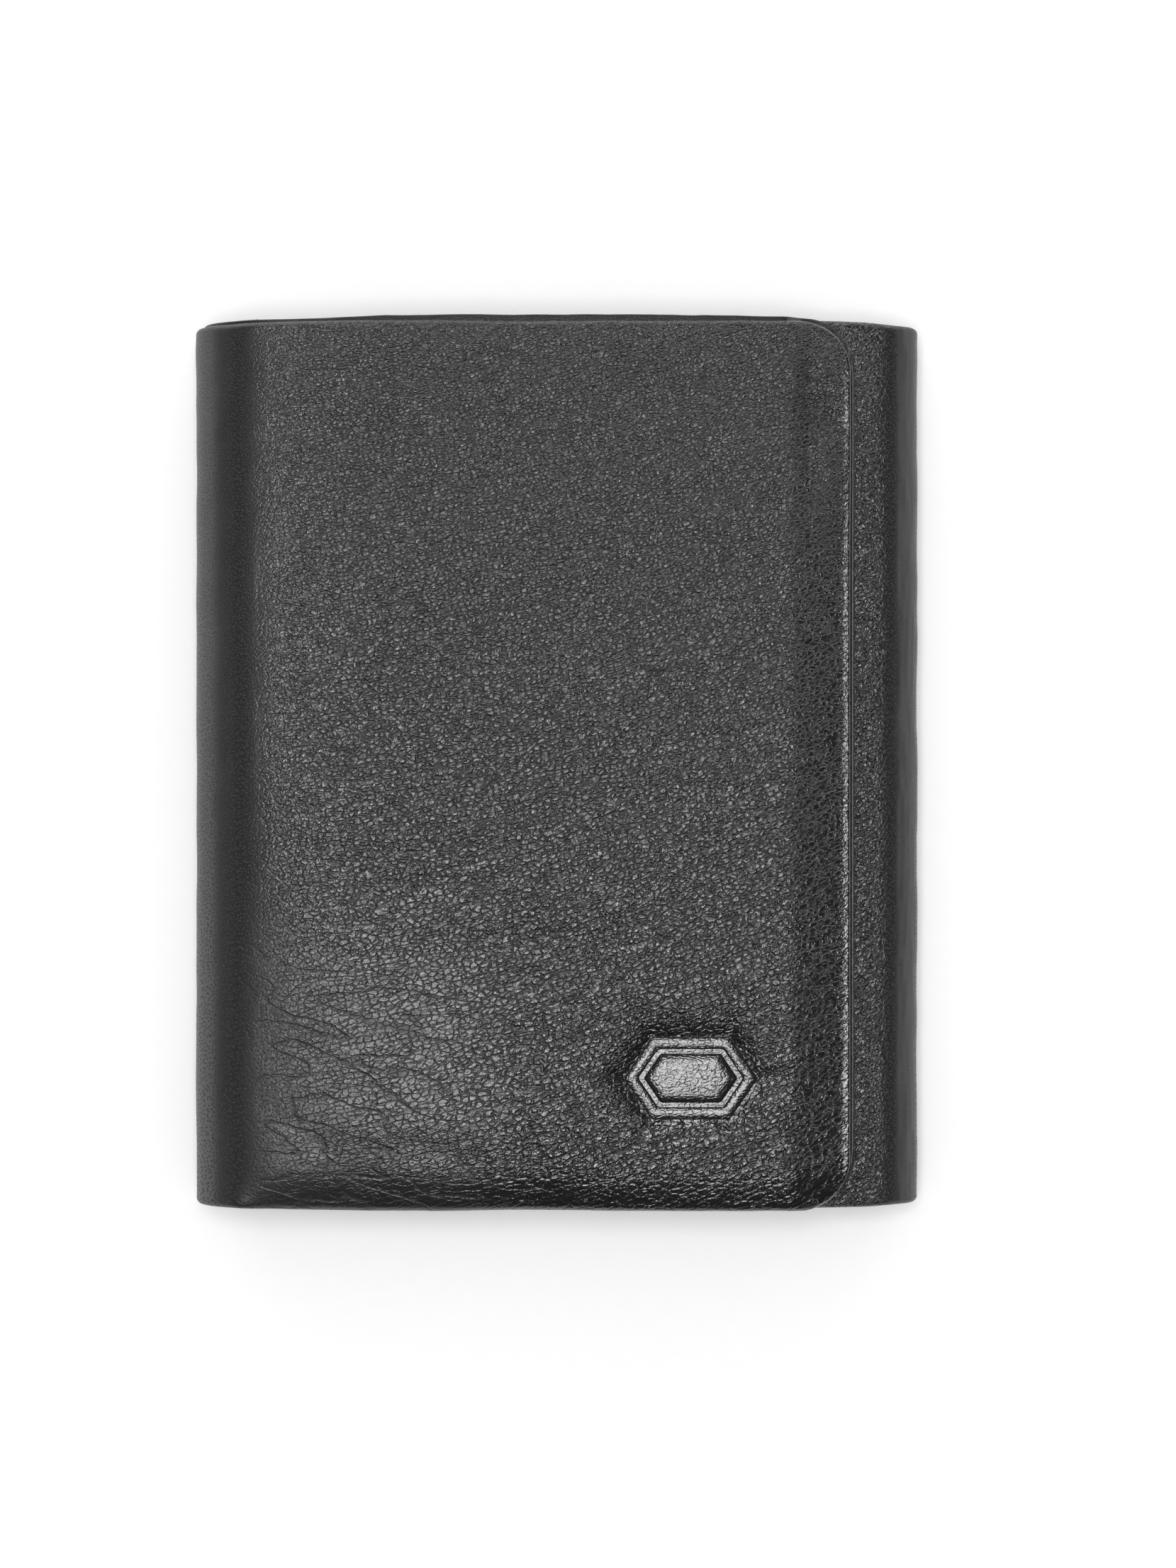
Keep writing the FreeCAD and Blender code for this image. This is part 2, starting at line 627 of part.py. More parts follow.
def check_and_export():
    """Stops on any failed object or bad shape, then writes one STEP file for each piece."""
    doc.recompute()
    failed = [o.Name for o in doc.Objects if {"Invalid", "Error"} & set(o.State)]
    if failed:
        raise RuntimeError(f"these objects failed: {failed}")
    for piece in made:
        if piece.Shape.isNull() or not piece.Shape.isValid() or piece.Shape.Volume <= 0:
            raise RuntimeError(f"{piece.Label} has no good shape")
    os.makedirs("parts", exist_ok=True)
    for piece in made:
        piece.Shape.exportStep(os.path.join("parts", piece.Label + ".step"))
        print(f"{piece.Label}: {len(piece.Shape.Solids)} solids, {piece.Shape.Volume:.1f} mm3")


fill_sheet()
body_leather()
bill_pocket_pieces()
card_pockets()
fold_strips()
flap_pieces()
check_and_export()
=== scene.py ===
"""Looks of the bifold wallet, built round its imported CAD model. Lengths are in metres.

The outer leather is one strip, unrolled along a line that runs from the turned-in strip beside the
card pockets, round the wrapped side, across the back, over the fold and across the flap. Distance
along that line is called s; it is 0 where the fold starts at the back. Grain and wrinkles are laid
out in s and y, so that they run on from piece to piece and stay put when the fold opens.
"""

import math

import bpy
import numpy as np
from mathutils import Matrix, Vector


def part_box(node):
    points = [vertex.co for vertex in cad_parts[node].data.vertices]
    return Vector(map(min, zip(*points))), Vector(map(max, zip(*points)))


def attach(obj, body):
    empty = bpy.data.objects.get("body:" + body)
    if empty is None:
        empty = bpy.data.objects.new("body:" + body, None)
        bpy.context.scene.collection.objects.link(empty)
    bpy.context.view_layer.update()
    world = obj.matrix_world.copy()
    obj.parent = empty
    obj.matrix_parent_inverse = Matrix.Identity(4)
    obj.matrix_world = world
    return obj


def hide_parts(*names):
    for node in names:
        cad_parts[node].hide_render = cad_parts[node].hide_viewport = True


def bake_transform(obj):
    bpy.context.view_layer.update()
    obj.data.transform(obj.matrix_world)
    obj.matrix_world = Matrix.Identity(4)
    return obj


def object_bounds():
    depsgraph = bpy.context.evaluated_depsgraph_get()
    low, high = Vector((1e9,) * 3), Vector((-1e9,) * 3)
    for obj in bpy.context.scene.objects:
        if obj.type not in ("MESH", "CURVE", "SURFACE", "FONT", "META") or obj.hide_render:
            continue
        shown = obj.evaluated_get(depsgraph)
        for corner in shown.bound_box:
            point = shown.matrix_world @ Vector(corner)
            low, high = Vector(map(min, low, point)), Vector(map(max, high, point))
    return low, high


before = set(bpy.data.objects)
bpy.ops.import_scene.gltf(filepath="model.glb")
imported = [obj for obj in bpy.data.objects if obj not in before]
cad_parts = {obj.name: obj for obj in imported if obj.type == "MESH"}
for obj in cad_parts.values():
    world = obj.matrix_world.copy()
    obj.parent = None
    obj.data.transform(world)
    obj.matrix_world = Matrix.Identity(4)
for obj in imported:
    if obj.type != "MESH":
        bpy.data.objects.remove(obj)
cad_low, cad_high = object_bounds()

# Places and sizes read from the CAD model. The flap and its lining reach a little further here.
HALF_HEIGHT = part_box("body_leather")[1].y
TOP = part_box("flap_leather")[1].z
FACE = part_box("body_leather")[1].z
FLAP_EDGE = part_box("flap_leather")[1].x + 0.0005
LINING_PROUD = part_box("flap_lining")[1].x - FLAP_EDGE + 0.00060
STRIP_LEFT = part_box("wrap_welt")[0].x
FOLD_R = TOP / 2
FOLD_X = cad_low.x + FOLD_R
WRAP_R = FACE / 2
WRAP_X = cad_high.x - WRAP_R

# Thicknesses, the lining's height, the rounding of edges and corners, and where stitches run.
LEATHER = 0.0011
RIM = 0.0007
LINING = 0.0005
FLAP_LINING_TOP = 0.0142
CORNER = 0.006
STITCH_INSET = 0.0013

# Ends of the stretches of the unrolled leather.
FOLD_END = math.pi * FOLD_R
BACK_END = -(WRAP_X - FOLD_X)
WRAP_END = BACK_END - math.pi * WRAP_R
STRIP_END = WRAP_END - (WRAP_X - STRIP_LEFT)

# The plain plaque pressed into the flap.
PLAQUE_X, PLAQUE_Y = 0.0152, -0.0359
PLAQUE_HALF_WIDTH, PLAQUE_HALF_HEIGHT, PLAQUE_POINT = 0.00765, 0.0047, 0.0032


# ------------ shapes of soft leather


def ramp(value, start, end):
    """Smooth step from 0 at start to 1 at end."""
    t = np.clip((value - start) / (end - start), 0, 1)
    return t * t * (3 - 2 * t)


def noise(u, v, seed):
    """Smooth random field from -1 to 1 with about one bump per unit."""
    size = 128
    table = np.random.default_rng(seed).uniform(-1, 1, (size, size))
    turned_u = 0.8 * u - 0.6 * v
    turned_v = 0.6 * u + 0.8 * v
    i, j = np.floor(turned_u).astype(int), np.floor(turned_v).astype(int)
    a, b = turned_u - i, turned_v - j
    a, b = a ** 3 * (10 - 15 * a + 6 * a * a), b ** 3 * (10 - 15 * b + 6 * b * b)
    i0, j0, i1, j1 = i % size, j % size, (i + 1) % size, (j + 1) % size
    low = table[i0, j0] * (1 - a) + table[i1, j0] * a
    high = table[i0, j1] * (1 - a) + table[i1, j1] * a
    return low * (1 - b) + high * b


def leather_line(s):
    """Point (x, z) and outward normal of the closed wallet's outer face at distance s."""
    s = np.asarray(s, float)
    turn = np.clip(s / FOLD_R, 0, math.pi)
    wrap = np.clip((BACK_END - s) / WRAP_R, 0, math.pi)
    on_flap, on_strip = np.maximum(s - FOLD_END, 0), np.maximum(WRAP_END - s, 0)
    on_back = np.clip(-s, 0, -BACK_END)
    x = FOLD_X - FOLD_R * np.sin(turn) + on_flap + on_back + WRAP_R * np.sin(wrap) - on_strip
    z = FOLD_R * (1 - np.cos(turn)) + WRAP_R * (1 - np.cos(wrap))
    nx = -np.sin(turn) + np.sin(wrap)
    nz = np.where(s >= 0, -np.cos(turn), -np.cos(wrap))
    return x, z, nx, nz


def edge_drop(distance, radius):
    """How far a face has rounded off at a distance in from its edge."""
    inward = np.clip(radius - distance, 0, radius)
    return radius - np.sqrt(radius ** 2 - inward ** 2)


def grain_map(s, y):
    """Flat coordinates of the grain: rising a little by the fold and more and more to the right.

    The turn is an even one, so that cells keep their shape and only grow a little at the bottom.
    The turned-in strip was cut at a slant, so its grain runs at an angle.
    """
    turn, tilt = 5.0, 0.20
    along = s - FOLD_END - 0.006
    size = np.exp(turn * y)
    ahead = np.maximum(along, 0)
    level_u = size * np.sin(turn * ahead) / turn + size * np.minimum(along, 0)
    level_v = (size * np.cos(turn * ahead) - 1) / turn
    u = level_u * math.cos(tilt) + level_v * math.sin(tilt)
    v = level_v * math.cos(tilt) - level_u * math.sin(tilt)
    slant, back = 0.62, s - WRAP_END
    strip_u = back * math.cos(slant) + y * math.sin(slant)
    strip_v = y * math.cos(slant) - back * math.sin(slant)
    share = ramp(s, WRAP_END + 0.003, WRAP_END + 0.007)
    return strip_u + (u - strip_u) * share, strip_v + (v - strip_v) * share


def soft_waves(s, y):
    """Gentle unevenness of soft leather, along its outward normal and never past the CAD's face."""
    u, v = grain_map(s, y)
    highest = 0.000145
    broad = 0.00010 * noise(s / 0.013, y / 0.011, 11)
    middle = 0.000045 * noise(u / 0.0058, v / 0.0034, 12)
    return broad + middle - highest


def creases(s, y):
    """Fine pull lines that follow the grain, fading out towards the folds."""
    u, v = grain_map(s, y)
    lines = noise(u / 0.0070, v / 0.0011, 13)
    patches = ramp(noise(s / 0.012, y / 0.009, 14), -0.2, 0.6)
    return -0.000035 * np.maximum(lines, 0) * patches * ramp(np.abs(s - FOLD_END / 2), 0.015, 0.026)


def settling(past_end, radius, softness, tilt, reach):
    """Depth by which a bend's far side settles, so that it runs out gently instead of ending.

    past_end is the distance beyond the end of the bend, and reach is where the depth comes to 0.
    Within the bend the settled line is shorter, so the same tilt is a gentler change of depth.
    """
    along = np.linspace(-0.006, reach, 300)
    blur = softness * np.log1p(np.exp(-np.abs(along) / softness)) / radius
    tail = tilt * ramp(along, -0.005, 0.001) * np.clip(1 - along / reach, 0, 1)
    slope = (blur + tail) * ramp(along, -0.006, -0.003) * (1 - ramp(along, reach - 0.001, reach))
    step = along[1] - along[0]
    at_end = np.sum(slope[along > 0]) * step
    slope = np.where(along > 0, slope, slope * (1 - at_end / radius))
    depth = np.cumsum(slope[::-1])[::-1] * step
    return np.interp(past_end, along, depth, right=0)


def shoulder(s):
    """The rolled folds run out in longer, flatter curves than their half circles."""
    fold = settling(s - FOLD_END, FOLD_R, 0.0011, 0.118, 0.0150) * ramp(s, 0.0115, 0.0205)
    wrap = settling(WRAP_END - s, WRAP_R, 0.0008, 0.055, 0.0080)
    return -fold - wrap * (1 - ramp(s, WRAP_END + 0.003, WRAP_END + 0.009))


def pulled_in(s, y):
    """How far the leather's top and bottom edges draw in, most of all round a fold."""
    at_fold = ramp(s, 0, 0.014) * (1 - ramp(s, 0.018, 0.034))
    at_wrap = ramp(s, WRAP_END - 0.006, WRAP_END + 0.004) * (1 - ramp(s, WRAP_END + 0.008, BACK_END))
    top = 0.00055 * ramp(s, -0.006, 0.012) + 0.0002 * at_fold + 0.00045 * at_wrap
    bottom = 0.0003 * at_fold + 0.0003 * at_wrap - 0.00025
    return np.where(y > 0, top, bottom)


def drawn_in(y, inwards):
    """Rows moved inwards: not at all in the middle, and by the whole distance at the edges."""
    return y - np.sign(y) * inwards * np.clip(np.abs(y) / HALF_HEIGHT, 0, 1)


def wander(s):
    """Slight unevenness of a trimmed edge."""
    return 0.00005 * noise(s / 0.004, 0 * s, 16) + 0.00008 * noise(s / 0.011, 0 * s, 17)


def relief(s, y):
    """Whole displacement of the outer leather along its outward normal."""
    return soft_waves(s, y) + creases(s, y) + shoulder(s) - droop(s, y)


# Soft dents in the flap: centre x, y, half length, half width, turn in degrees, and depth, which
# is negative for a swelling.
DENTS = (
    (-0.0050, -0.0206, 0.0150, 0.0020, 4, 0.00022),
    (0.0010, -0.0238, 0.0110, 0.0016, 10, 0.00014),
    (-0.0255, -0.0345, 0.0100, 0.0014, -30, 0.00006),
    (-0.0215, -0.0395, 0.0120, 0.0015, -28, 0.00008),
    (-0.0265, -0.0440, 0.0085, 0.0014, -36, 0.00008),
    (-0.0150, -0.0445, 0.0100, 0.0018, -12, 0.00012),
    (-0.0080, 0.0150, 0.0200, 0.0050, 28, 0.00016),
    (0.0120, 0.0020, 0.0180, 0.0050, 30, 0.00014),
    (-0.0220, 0.0330, 0.0130, 0.0050, 55, 0.00018),
    (0.0240, -0.0455, 0.0030, 0.0090, -20, 0.00015),
    (0.0298, 0.0400, 0.0034, 0.0014, -35, 0.00030),
    (0.0300, 0.0455, 0.0032, 0.0018, -38, -0.00030),
    (0.0305, 0.0330, 0.0024, 0.0060, 0, -0.00032),
)


def dents(x, y):
    """Sum of the flap's soft dents, downwards."""
    total = np.zeros(np.broadcast(x, y).shape)
    for cx, cy, length, width, turn, depth in DENTS:
        c, s = math.cos(math.radians(turn)), math.sin(math.radians(turn))
        along = ((x - cx) * c + (y - cy) * s) / length
        across = (-(x - cx) * s + (y - cy) * c) / width
        total += depth * np.exp(-along ** 2 - across ** 2)
    return total


def plaque_distance(x, y):
    """Distance outside the plaque's hexagon, negative within it."""
    u, v = np.abs(x - PLAQUE_X), np.abs(y - PLAQUE_Y)
    slope = math.hypot(PLAQUE_POINT, PLAQUE_HALF_HEIGHT)
    slanted = ((u - PLAQUE_HALF_WIDTH) * PLAQUE_HALF_HEIGHT + v * PLAQUE_POINT) / slope
    return np.maximum(v - PLAQUE_HALF_HEIGHT, slanted)


def pinched(x, y):
    """The hollow that the plaque is pressed into, with leather gathered towards it."""
    away = np.maximum(plaque_distance(x, y), 0)
    turn = np.arctan2(y - PLAQUE_Y, x - PLAQUE_X)
    upper_left = 0.5 + 0.5 * np.tanh((y - PLAQUE_Y - 0.5 * (x - PLAQUE_X)) / 0.0035)
    hollow = (0.00055 + 0.00042 * upper_left) * np.exp(-(away / 0.0018) ** 1.15)
    gathers = noise(turn * 9, away / 0.004, 15) * 0.00009
    return hollow + gathers * np.exp(-(away / 0.0020) ** 2) * ramp(away, 0.0002, 0.0008)


def droop(s, y):
    """How far the flap's leather and lining sag together at the bottom and top edges."""
    depth = 0.0016 - 0.0005 * ramp(s, FOLD_END + 0.029, FOLD_END + 0.054)
    at_bottom = depth * np.clip((-y - 0.0455) / 0.0055, 0, 1.2) ** 2
    at_top = 0.0003 * np.clip((y - 0.0475) / 0.0035, 0, 1.2) ** 2
    from_fold = ramp(s, FOLD_END - 0.0040, FOLD_END + 0.0030)
    return (at_bottom + at_top * ramp(s, FOLD_END, FOLD_END + 0.010)) * from_fold


def upper_part(y):
    """Share of the flap's upper part, where its hem lies flatter: 0 below and 1 above."""
    return ramp(y, 0.020, 0.040)


def hem_shape(x, y):
    """Fall of the outer face over the hem: one long slope that levels out at the free edge.

    Towards the top of the flap the slope is shorter and steeper, with a nearly level hem after it.
    """
    along = np.linspace(0.0250, 0.0350, 200)
    start, end = ramp(along, 0.0257, 0.0283), 1 - ramp(along, 0.0319, 0.0329)
    long_slope = 0.35 * start * end
    short_slope = 0.52 * start * (1 - 0.88 * ramp(along, 0.0280, 0.0292)) * end
    step = along[1] - along[0]
    long_fall, short_fall = (np.interp(x, along, np.cumsum(slope) * step)
                             for slope in (long_slope, short_slope))
    return long_fall + (short_fall - long_fall) * upper_part(y)


def flap_top(x, y):
    """Height of the closed flap's outer face, before its edge rounds off."""
    s = FOLD_END + x - FOLD_X
    slack = 0.0004 * ramp(-y, 0.040, 0.049) * (1 - 0.5 * ramp(x, -0.005, 0.02))
    slack = slack * ramp(s, FOLD_END, FOLD_END + 0.010)
    return TOP + relief(s, y) - hem_shape(x, y) - slack - dents(x, y) - pinched(x, y)


def settled(x, y):
    """Rise of the flap's inner layers: down by the fold and the bottom, up at the hem's top."""
    s = FOLD_END + x - FOLD_X
    raised = 0.0006 * upper_part(y) * ramp(x, 0.0270, 0.0300)
    return shoulder(s) - droop(s, y) + raised


def flap_under(x, y):
    """Height of the inner face of the flap's outer leather."""
    return TOP - LEATHER - 0.0031 * ramp(x, 0.0259, 0.0292) + settled(x, y)


def lining_top(x, y):
    """Height of the flap lining's upper face."""
    return FLAP_LINING_TOP - 0.0028 * ramp(x, 0.0256, 0.0290) + settled(x, y)


# ------------ building closed sheets


def surface(x, y, z):
    """A grid of points from three grids of coordinates, or from numbers where one is the same."""
    return np.stack(np.broadcast_arrays(x, y, z), -1)


def spread(*spans):
    """Rising values through spans of (start, end, step), ends included once."""
    runs = [np.linspace(a, b, max(int(round((b - a) / step)), 1) + 1)[:-1] for a, b, step in spans]
    return np.concatenate([*runs, [spans[-1][1]]])


def rim_steps(radius, count=7):
    """Distances in from an edge that follow its rounding."""
    return radius * (1 - np.cos(np.linspace(0, math.pi / 2, count)))


def even_rows(low, high, rim, step):
    """Rows along y, close together at both rounded edges."""
    edge = rim_steps(rim)[:-1]
    return np.concatenate([low + edge, spread((low + rim, high - rim, step)), (high - edge)[::-1]])


def leather_rows():
    """Rows of all outer leather, close together at its edges and beside the plaque."""
    edge = rim_steps(RIM, 9)[:-1]
    middle = spread((RIM - HALF_HEIGHT, -0.0435, 0.00042), (-0.0435, -0.0280, 0.00024),
                    (-0.0280, HALF_HEIGHT - RIM, 0.00042))
    return np.concatenate([edge - HALF_HEIGHT, middle, (HALF_HEIGHT - edge)[::-1]])


def grid_faces(index):
    """Quads over a grid of vertex numbers."""
    a, b, c, d = index[:-1, :-1], index[1:, :-1], index[1:, 1:], index[:-1, 1:]
    return np.stack([a, b, c, d], -1).reshape(-1, 4).tolist()


def broad_faces(index, step):
    """Large quads over a grid, with fans of triangles that hold each of its border points."""
    rows, columns = index.shape
    i_cuts = [*range(0, rows - 1, step), rows - 1]
    j_cuts = [*range(0, columns - 1, step), columns - 1]
    faces = []
    for i0, i1 in zip(i_cuts, i_cuts[1:]):
        for j0, j1 in zip(j_cuts, j_cuts[1:]):
            low = index[i0:i1 + 1, j0] if j0 == 0 else index[[i0, i1], j0]
            right = index[i1, j0:j1 + 1] if i1 == rows - 1 else index[i1, [j0, j1]]
            high = index[i0:i1 + 1, j1] if j1 == columns - 1 else index[[i0, i1], j1]
            left = index[i0, j0:j1 + 1] if i0 == 0 else index[i0, [j0, j1]]
            ring = [*low, *right[1:], *high[::-1][1:], *left[::-1][1:-1]]
            if len(ring) == 4:
                faces.append(ring)
                continue
            start = ring.index(index[i1 if i0 == 0 else i0, j1 if j0 == 0 else j0])
            ring = ring[start:] + ring[:start]
            faces += [[ring[0], a, b] for a, b in zip(ring[1:], ring[2:])]
    return faces


def wall_faces(outer, inner):
    """Quads that join the borders of two grids of the same shape."""
    def border(index):
        """Vertex numbers once round a grid."""
        return [*index[:, 0], *index[-1, 1:], *index[::-1, -1][1:], *index[0, ::-1][1:-1]]

    a, b = border(outer), border(inner)
    return [[a[i], a[i - 1], b[i - 1], b[i]] for i in range(len(a))]


def make_object(name, points, faces, sharp=40):
    """A smooth-shaded mesh object without unused points, and the numbers of the used ones."""
    points = np.asarray(points, float).reshape(-1, 3)
    used = np.unique(np.concatenate([np.asarray(f, int) for f in faces]))
    renumber = np.full(len(points), -1)
    renumber[used] = np.arange(len(used))
    mesh = bpy.data.meshes.new(name)
    mesh.from_pydata(points[used].tolist(), [], [[int(renumber[v]) for v in f] for f in faces])
    mesh.validate()
    mesh.shade_smooth()
    mesh.set_sharp_from_angle(angle=math.radians(sharp))
    made = bpy.data.objects.new(name, mesh)
    bpy.context.scene.collection.objects.link(made)
    return made, used


def put_attribute(piece, name, values):
    """Stores one vector for each point of a piece."""
    layer = piece.data.attributes.new(name, "FLOAT_VECTOR", "POINT")
    layer.data.foreach_set("vector", np.asarray(values, np.float32).ravel())


def closed_sheet(name, outer, inner, grain=None, skin=None, broad=0):
    """A closed sheet between two grids of points, with grain coordinates on both faces."""
    count = outer.shape[0] * outer.shape[1]
    outer_index = np.arange(count).reshape(outer.shape[:2])
    inner_index = outer_index + count
    back = broad_faces(inner_index, broad) if broad else grid_faces(inner_index)
    faces = grid_faces(outer_index) + [f[::-1] for f in back]
    faces += wall_faces(outer_index, inner_index)
    points = np.concatenate([outer.reshape(-1, 3), inner.reshape(-1, 3)])
    piece, used = make_object(name, points, faces)
    if grain is None:
        grain = outer[..., :2]
    flat = np.zeros((count, 3))
    flat[:, :2] = grain.reshape(-1, 2)
    put_attribute(piece, "grain", np.concatenate([flat, flat + (0, 0, 0.001)])[used])
    look = np.zeros((count, 3)) if skin is None else skin.reshape(-1, 3)
    put_attribute(piece, "skin", np.concatenate([look, look * (0.3, 0, 0)])[used])
    return piece


def facing_out(name, outer, inner, **options):
    """closed_sheet, turned so that its faces look outwards."""
    first = outer[1, 0] - outer[0, 0]
    second = outer[0, 1] - outer[0, 0]
    if np.dot(np.cross(first, second), outer[0, 0] - inner[0, 0]) < 0:
        outer, inner = outer[::-1], inner[::-1]
        options = {k: (v[::-1] if k in ("grain", "skin") else v) for k, v in options.items()}
    return closed_sheet(name, outer, inner, **options)


def skin_look(s, y):
    """Per point: pebbled grain, broad creases, smoothness. Folds and edges are smooth."""
    on_flap = 0.75 * ramp(s, FOLD_END - 0.0030, FOLD_END + 0.0060)
    on_flap = on_flap + 0.25 * ramp(s, FOLD_END + 0.004, FOLD_END + 0.016)
    on_strip = 1 - ramp(s, WRAP_END - 0.0010, WRAP_END + 0.0025)
    on_back = 0.8 * (1 - ramp(s, -0.012, -0.002)) * ramp(s, BACK_END + 0.002, BACK_END + 0.012)
    pebble = np.maximum(np.maximum(on_flap, on_strip), on_back) * np.ones_like(y)
    coarse = ramp(-y, 0.008, 0.032) * (1 - ramp(s, FOLD_END + 0.018, FOLD_END + 0.034))
    coarse = coarse * ramp(s, FOLD_END - 0.0045, FOLD_END + 0.0035)
    calmer = 1 - 0.45 * ramp(-y, 0.0455, 0.0485) * on_flap
    return np.stack([pebble * calmer, coarse, 1 - pebble], -1)


def strip_grids(s_values, rows, outside, inside, wavy=True, free_end=False):
    """Outer points, inner points, grain and look of part of the unrolled leather or its lining."""
    s, y = np.meshgrid(s_values, rows, indexing="ij")
    x, z, nx, nz = leather_line(s)
    edge = np.minimum(rows[-1] - y, y - rows[0])
    if free_end:
        edge = np.minimum(edge, s - s_values[0])
    rim = RIM if wavy else 0.0002
    face = -outside - edge_drop(edge, rim) * min(1, (inside - outside) / rim * 0.8)
    trim = np.where(y > 0, -0.00030 - 0.0001 * ramp(s, 0.010, 0.020), 0.0001)
    y = drawn_in(y, pulled_in(s, y) + (wander(s) if wavy else trim))
    deep = -inside + shoulder(s) - droop(s, y)
    face = face + (relief(s, y) if wavy else shoulder(s) - droop(s, y))
    outer = surface(x + nx * face, y, z + nz * face)
    inner = surface(x + nx * deep, y, z + nz * deep)
    return outer, inner, np.stack(grain_map(s, y), -1), skin_look(s, y)


def strip_sheet(name, s_values, rows, outside, inside, wavy=True, free_end=False):
    """Part of the unrolled leather, or of a layer under it, between two depths below its face."""
    outer, inner, grain, look = strip_grids(s_values, rows, outside, inside, wavy, free_end)
    return facing_out(name, outer, inner, grain=grain, skin=look, broad=4)


def bend_with(piece):
    """Bakes the placement of a piece over one quarter of the fold into its points."""
    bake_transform(piece)


def fold_pieces(label, depth, thickness, wavy, count):
    """Quarters of a layer over the fold, one piece each."""
    rows = leather_rows() if wavy else even_rows(-HALF_HEIGHT, HALF_HEIGHT, 0.0002, 0.0015)
    pieces = []
    for i in range(count):
        columns = spread((i * FOLD_END / 4, (i + 1) * FOLD_END / 4, 0.00032 if wavy else 0.0006))
        piece = strip_sheet(f"{label}_{i + 1}", columns, rows, depth, depth + thickness, wavy)
        bend_with(piece)
        pieces.append(piece)
    return pieces


# ------------ the flap


def flap_columns(fine):
    """Columns across the flap, close together by the plaque and round the corner."""
    bend = FLAP_EDGE - CORNER
    round_part = bend + CORNER * np.sin(np.linspace(0, math.pi / 2, 34))
    if fine:
        flat = spread((FOLD_X, 0.0055, 0.0004), (0.0055, 0.0245, 0.00022), (0.0245, bend, 0.00033))
    else:
        flat = spread((FOLD_X, 0.024, 0.0012), (0.024, bend, 0.0004))
    return np.concatenate([flat[:-1], round_part])


def flap_grid(columns, rows, proud):
    """Points of the flap's outline: rows squeezed between its rounded corners."""
    past = np.clip(columns - (FLAP_EDGE - CORNER), 0, CORNER)
    share = (HALF_HEIGHT - CORNER + np.sqrt(CORNER ** 2 - past ** 2)) / HALF_HEIGHT
    grown = columns + proud * np.clip((columns - FOLD_X) / (FLAP_EDGE - FOLD_X), 0, 1) ** 8
    x, flat_y = np.meshgrid(grown, rows, indexing="ij")
    return x, share[:, None] * flat_y


def flap_edge_distance(x, y, proud):
    """Distance in from the flap's top, bottom and free edges."""
    radius = CORNER + proud
    u, v = x - (FLAP_EDGE + proud - radius), np.abs(y) - (HALF_HEIGHT + proud - radius)
    corner = radius - np.hypot(np.maximum(u, 0), np.maximum(v, 0))
    straight = np.minimum(FLAP_EDGE + proud - x, HALF_HEIGHT + proud - np.abs(y))
    return np.maximum(np.where((u > 0) & (v > 0), corner, straight), 0)


def edge_rounding(x, y):
    """Drop of the flap's outer face at its edges: broad above and below, crisp at the free edge."""
    broad = edge_drop(HALF_HEIGHT - np.abs(y), RIM) * min(1, LEATHER / RIM * 0.8)
    crisp = edge_drop(flap_edge_distance(x, y, 0), 0.00036)
    free_end = ramp(x, FLAP_EDGE - CORNER, FLAP_EDGE - 0.003)
    return broad * (1 - free_end) + np.maximum(crisp * 2.2, broad) * free_end


def make_flap_leather():
    """The fold's last quarter and the padded flap in one, with hem, dents and plaque hollow."""
    x, y = flap_grid(flap_columns(True), leather_rows(), 0)
    drop = edge_rounding(x, y)
    s = FOLD_END + x - FOLD_X
    y = drawn_in(y, pulled_in(s, y) + wander(s))
    top = flap_top(x, y) - drop
    under = np.minimum(flap_under(x, y), top - 0.0002)
    look = skin_look(s, y)
    near = np.exp(-(np.maximum(plaque_distance(x, y), 0) / 0.0012) ** 2)
    look[..., 0] *= (1 - 0.55 * near) * (1 - 0.6 * ramp(x, 0.0324, 0.0328))
    flat = (surface(x, y, top), surface(x, y, under), np.stack(grain_map(s, y), -1), look)

    bend = strip_grids(spread((0.75 * FOLD_END, FOLD_END, 0.00032))[:-1], leather_rows(), 0, LEATHER)
    outer, inner, grain, look = (np.concatenate(parts) for parts in zip(bend, flat))
    piece = facing_out("flap_outer_leather", outer, inner, grain=grain, skin=look, broad=6)
    bend_with(piece)
    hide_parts("flap_leather")
    return piece


